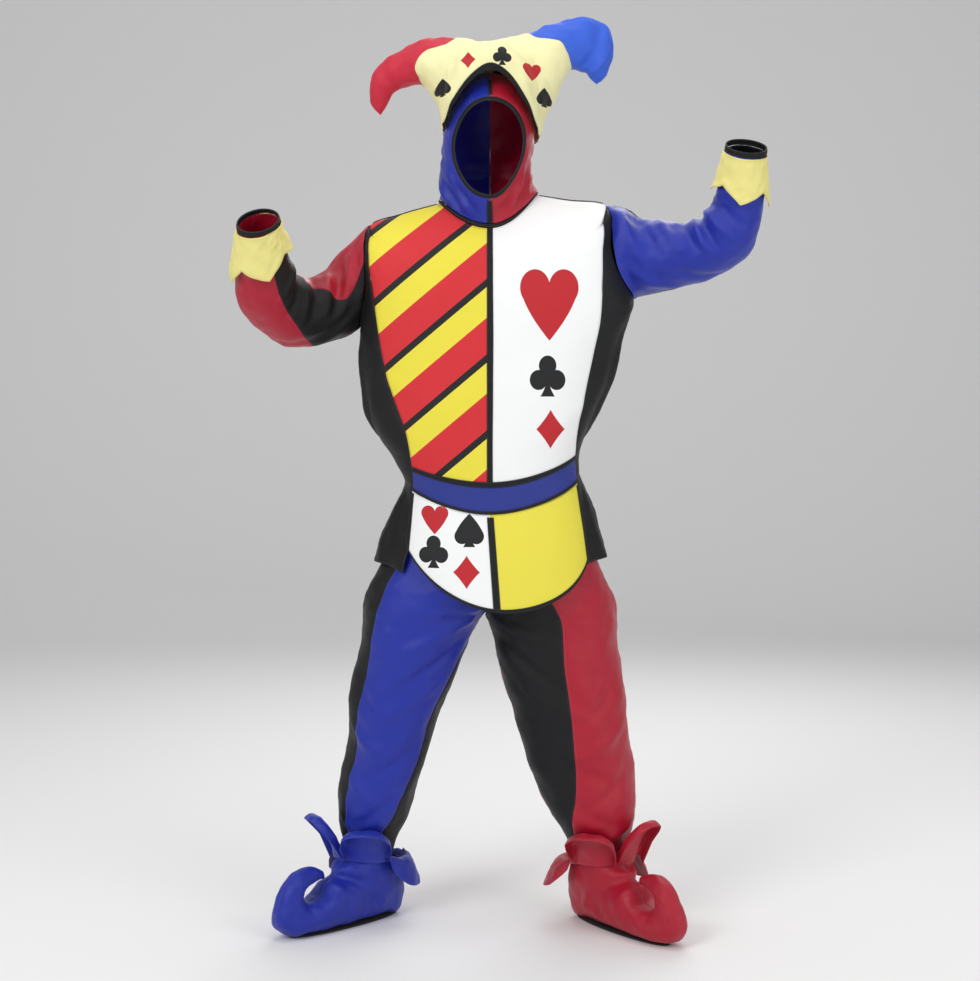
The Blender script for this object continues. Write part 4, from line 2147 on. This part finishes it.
@dataclass
class BootCovers:
    """Curl-toed boot covers, each of two side panels, a sole and a collar of points."""

    collar_low: float = 2
    collar_reach: float = 12
    collar_fold: float = 14.4
    petal_spread: float = 36
    collar_start: float = 4
    petal_round: float = 2.4
    petal_blunt: float = 0.65
    climb: float = 2.2
    droop: float = 1.2
    sole_middle: float = 146
    sole_half: float = 136
    sole_heel: float = 40
    sole_toe: float = 34
    sole_thick: float = 3
    sole_edge: float = 0.8
    sole_area: float = 0.0165
    petals: dict[Side, tuple[tuple[float, float, float], ...]] = field(default_factory=lambda: {
        Side.RIGHT: ((24, 66, 84), (92, 36, -44), (164, 34, -46), (236, 38, -52), (308, 62, 66)),
        Side.LEFT: ((346, 66, 84), (62, 62, 66), (134, 54, -52), (206, 34, -46), (278, 36, -44)),
    })

    def build(self) -> None:
        """Makes both boots."""
        for side, finish in ((Side.RIGHT, BLUE_SATIN), (Side.LEFT, RED_SATIN)):
            place, word = BOOT_PLACES[side], side.name.lower()
            folds = Folds(place.point, creases(
                (((-60, 1.2), (-10, 2.2), (50, 1.4)), 4, 11), (((-70, 2.4), (-16, 3.6), (40, 3.0)), -4, 11),
                (((-50, 4.8), (0, 5.4), (54, 5.0)), 4, 11), (((-46, 6.2), (0, 6.7), (50, 6.4)), -4, 10),
                (((-60, 7.6), (0, 8.0), (60, 7.7)), 3, 10), (((70, 1.8), (104, 3.2), (120, 4.8)), 4, 11),
                (((-70, 1.8), (-104, 3.2), (-120, 4.8)), 4, 11),
                (((150, 0.8), (172, 1.4), (196, 0.9)), -3, 9),
            ), uneven=1.4, size=50, seed=51)
            for way in (1, -1):
                label = "inner" if (side is Side.RIGHT) == (way > 0) else "outer"
                panel = strip(place.point, still(0), still(180 * way))
                ClothPiece(f"boot_panel_{word}_{label}", panel, np.linspace(0, BOOT.last, 110), 44, finish,
                           (f"boot_{word}_{label}",), outward=way, folds=folds, pucker=0.5,
                           held=Held.STRETCHED, rests_on=(f"boot_sole_{word}",)).build()
            self.sole(side, place)
            self.collar(side, place, finish)

    def sole(self, side: Side, place: BootPlace) -> None:
        """The thin black sole, an outline drawn out to its thickness with a softened edge.

        Args:
            side: which boot.
            place: where it stands.
        """
        bm = bmesh.new()
        bmesh.ops.create_circle(bm, cap_ends=True, segments=72, radius=1)
        for vert in bm.verts:
            turn = math.atan2(vert.co.y, vert.co.x)
            along = self.sole_middle - self.sole_half * math.cos(turn)
            half = mix(self.sole_heel, self.sole_toe, along / (self.sole_middle + self.sole_half))
            wide = half * (1 - 0.1 * math.sin(turn) ** 2) * math.sin(turn)
            vert.co = Vector(place.place(np.array(along), np.array(wide), np.array(0.0)) * MM)
        made = bmesh.ops.extrude_face_region(bm, geom=bm.faces[:])
        top = [g for g in made["geom"] if isinstance(g, bmesh.types.BMVert)]
        bmesh.ops.translate(bm, verts=top, vec=(0, 0, self.sole_thick * MM))
        bmesh.ops.recalc_face_normals(bm, faces=bm.faces)
        bmesh.ops.bevel(bm, geom=bm.edges[:], offset=self.sole_edge * MM, segments=2, profile=0.5,
                        affect="EDGES", material=-1)
        mesh = bpy.data.meshes.new(f"boot_sole_{side.name.lower()}")
        bm.to_mesh(mesh)
        bm.free()
        sole = bpy.data.objects.new(mesh.name, mesh)
        bpy.context.scene.collection.objects.link(sole)
        sole.data.materials.append(SOLE_BLACK.material())
        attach(sole, "root")
        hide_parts(f"sole_{side.name.lower()}")

    def collar(self, side: Side, place: BootPlace, finish: Finish) -> None:
        """The collar: a ring of points that fold out over the ankle.

        Args:
            side: which boot.
            place: where it stands.
            finish: its cloth.
        """
        def surface(s: Grid, t: Grid) -> Grid:
            """Point at the share s round the ankle and t out to the points.

            Args:
                s: share across.
                t: share along.

            Returns:
                Points in millimetres.
            """
            degrees = s * 360
            low = place.point(degrees, 0 * s)
            centre = place.place(np.array(80.0), np.array(0.0), np.array(124.0))
            out = (low - centre) * [1, 1, 0]
            out = out / np.linalg.norm(out, axis=-1, keepdims=True)
            reach, rise = np.full(s.shape, self.collar_reach), np.full(s.shape, self.collar_low)
            for at, far, up in self.petals[side]:
                apart = np.abs((degrees - at + 540) % 360 - 180) / self.petal_spread
                share = np.maximum(0, 1 - np.minimum(apart, 1) ** self.petal_round) ** self.petal_blunt
                reach = np.where(apart < 1, mix(self.collar_reach, far, share), reach)
                rise = np.where(apart < 1, mix(self.collar_low, up, share), rise)
            swing = np.where(rise > 0, t * (self.climb - self.droop * t), t * t)
            up = 0.5 + rise * swing + self.collar_fold * np.sin(t * math.pi)
            high = np.stack([0 * s, 0 * s, up], axis=-1)
            return low + high + out * (self.collar_start + reach * t)[..., None]

        ClothPiece(f"boot_collar_{side.name.lower()}", surface, np.linspace(0, 1, 26), 144, finish,
                   (f"collar_{side.name.lower()}",), ring=True, thick=1.6, pucker=0.2,
                   folds=Folds(place.point, (), uneven=1.2, size=40, seed=55), held=Held.FOLDED,
                   rests_on=(f"boot_panel_{side.name.lower()}_inner",)).build()


@dataclass(frozen=True)
class Studio:
    """Pale floor, soft lights and a camera at the photograph's angle."""

    camera_at: tuple[float, float, float] = (0.0, -3.5, -0.4)
    pitch: float = 1.4
    focal_pixels: float = 1750
    frame_pixels: float = 980
    shift_pixels: float = -43
    floor_start: float = -5
    floor_bend: float = 4.2
    bend_radius: float = 1.5
    paper: Colour = (0.86, 0.86, 0.86)
    lamps: tuple[tuple[str, tuple[float, float, float], float, float], ...] = (
        ("key", (-2.4, -3.2, 1.6), 1.8, 80),
        ("fill", (2.8, -2.8, 0.6), 2.4, 44),
        ("top", (0.0, -0.4, 2.6), 2.4, 34),
        ("back", (0.6, 2.6, 1.4), 2.2, 40),
    )
    sky: float = 0.42

    def floor(self) -> None:
        """A wide floor under the boots that bends up into the background."""
        bm = bmesh.new()
        bmesh.ops.create_grid(bm, x_segments=2, y_segments=48, size=1)
        for vert in bm.verts:
            run = (vert.co.y + 1) * 7 + self.floor_start
            past = max(run - self.floor_bend, 0)
            turn = min(past / self.bend_radius, math.pi / 2)
            y = min(run, self.floor_bend) + self.bend_radius * math.sin(turn)
            rise = self.bend_radius * (1 - math.cos(turn)) + max(past - self.bend_radius * math.pi / 2, 0)
            vert.co = Vector((vert.co.x * 9, y, FLOOR_LEVEL * MM - 0.0005 + rise))
        bmesh.ops.recalc_face_normals(bm, faces=bm.faces)
        mesh = bpy.data.meshes.new("floor")
        bm.to_mesh(mesh)
        bm.free()
        mesh.shade_smooth()
        floor = bpy.data.objects.new("floor", mesh)
        bpy.context.scene.collection.objects.link(floor)
        paper = bpy.data.materials.new("floor_paper")
        paper.use_nodes = True
        surface = paper.node_tree.nodes["Principled BSDF"]
        surface.inputs["Base Color"].default_value = (*self.paper, 1)
        surface.inputs["Roughness"].default_value = 0.9
        mesh.materials.append(paper)

    def light(self, name: str, at: tuple[float, float, float], size: float, power: float) -> None:
        """A soft square light that faces the costume's middle.

        Args:
            name: its name.
            at: its place in metres.
            size: its side in metres.
            power: its power in watts.
        """
        data = bpy.data.lights.new(name, "AREA")
        data.size = size
        data.energy = power
        lamp = bpy.data.objects.new(name, data)
        lamp.location = at
        lamp.rotation_euler = (Vector((0, 0, -0.45)) - Vector(at)).to_track_quat("-Z", "Y").to_euler()
        bpy.context.scene.collection.objects.link(lamp)

    def build(self) -> None:
        """Makes the floor, lights, world and camera."""
        self.floor()
        for lamp in self.lamps:
            self.light(*lamp)
        world = bpy.data.worlds.new("studio")
        world.use_nodes = True
        world.node_tree.nodes["Background"].inputs[0].default_value = (1, 1, 1, 1)
        world.node_tree.nodes["Background"].inputs[1].default_value = self.sky
        scene = bpy.context.scene
        scene.world = world
        scene.view_settings.view_transform = "Standard"
        data = bpy.data.cameras.new("camera")
        data.sensor_width = 36
        data.lens = self.focal_pixels * 36 / self.frame_pixels
        data.shift_y = self.shift_pixels / self.frame_pixels
        camera = bpy.data.objects.new("camera", data)
        camera.location = self.camera_at
        camera.rotation_euler = (math.radians(90 - self.pitch), 0, 0)
        scene.collection.objects.link(camera)
        scene.camera = camera


def main() -> None:
    """Builds the costume and its studio, and notes the sizes before and after."""
    logging.basicConfig(level=logging.INFO, format="%(message)s")
    Studio().build()
    for part in (Tunic(), Sleeves(), Hood(), Hat(), Trousers(), BootCovers()):
        part.build()
        LOG.info("%s built", type(part).__name__)
    bpy.context.view_layer.update()


if __name__ == "__main__":
    main()
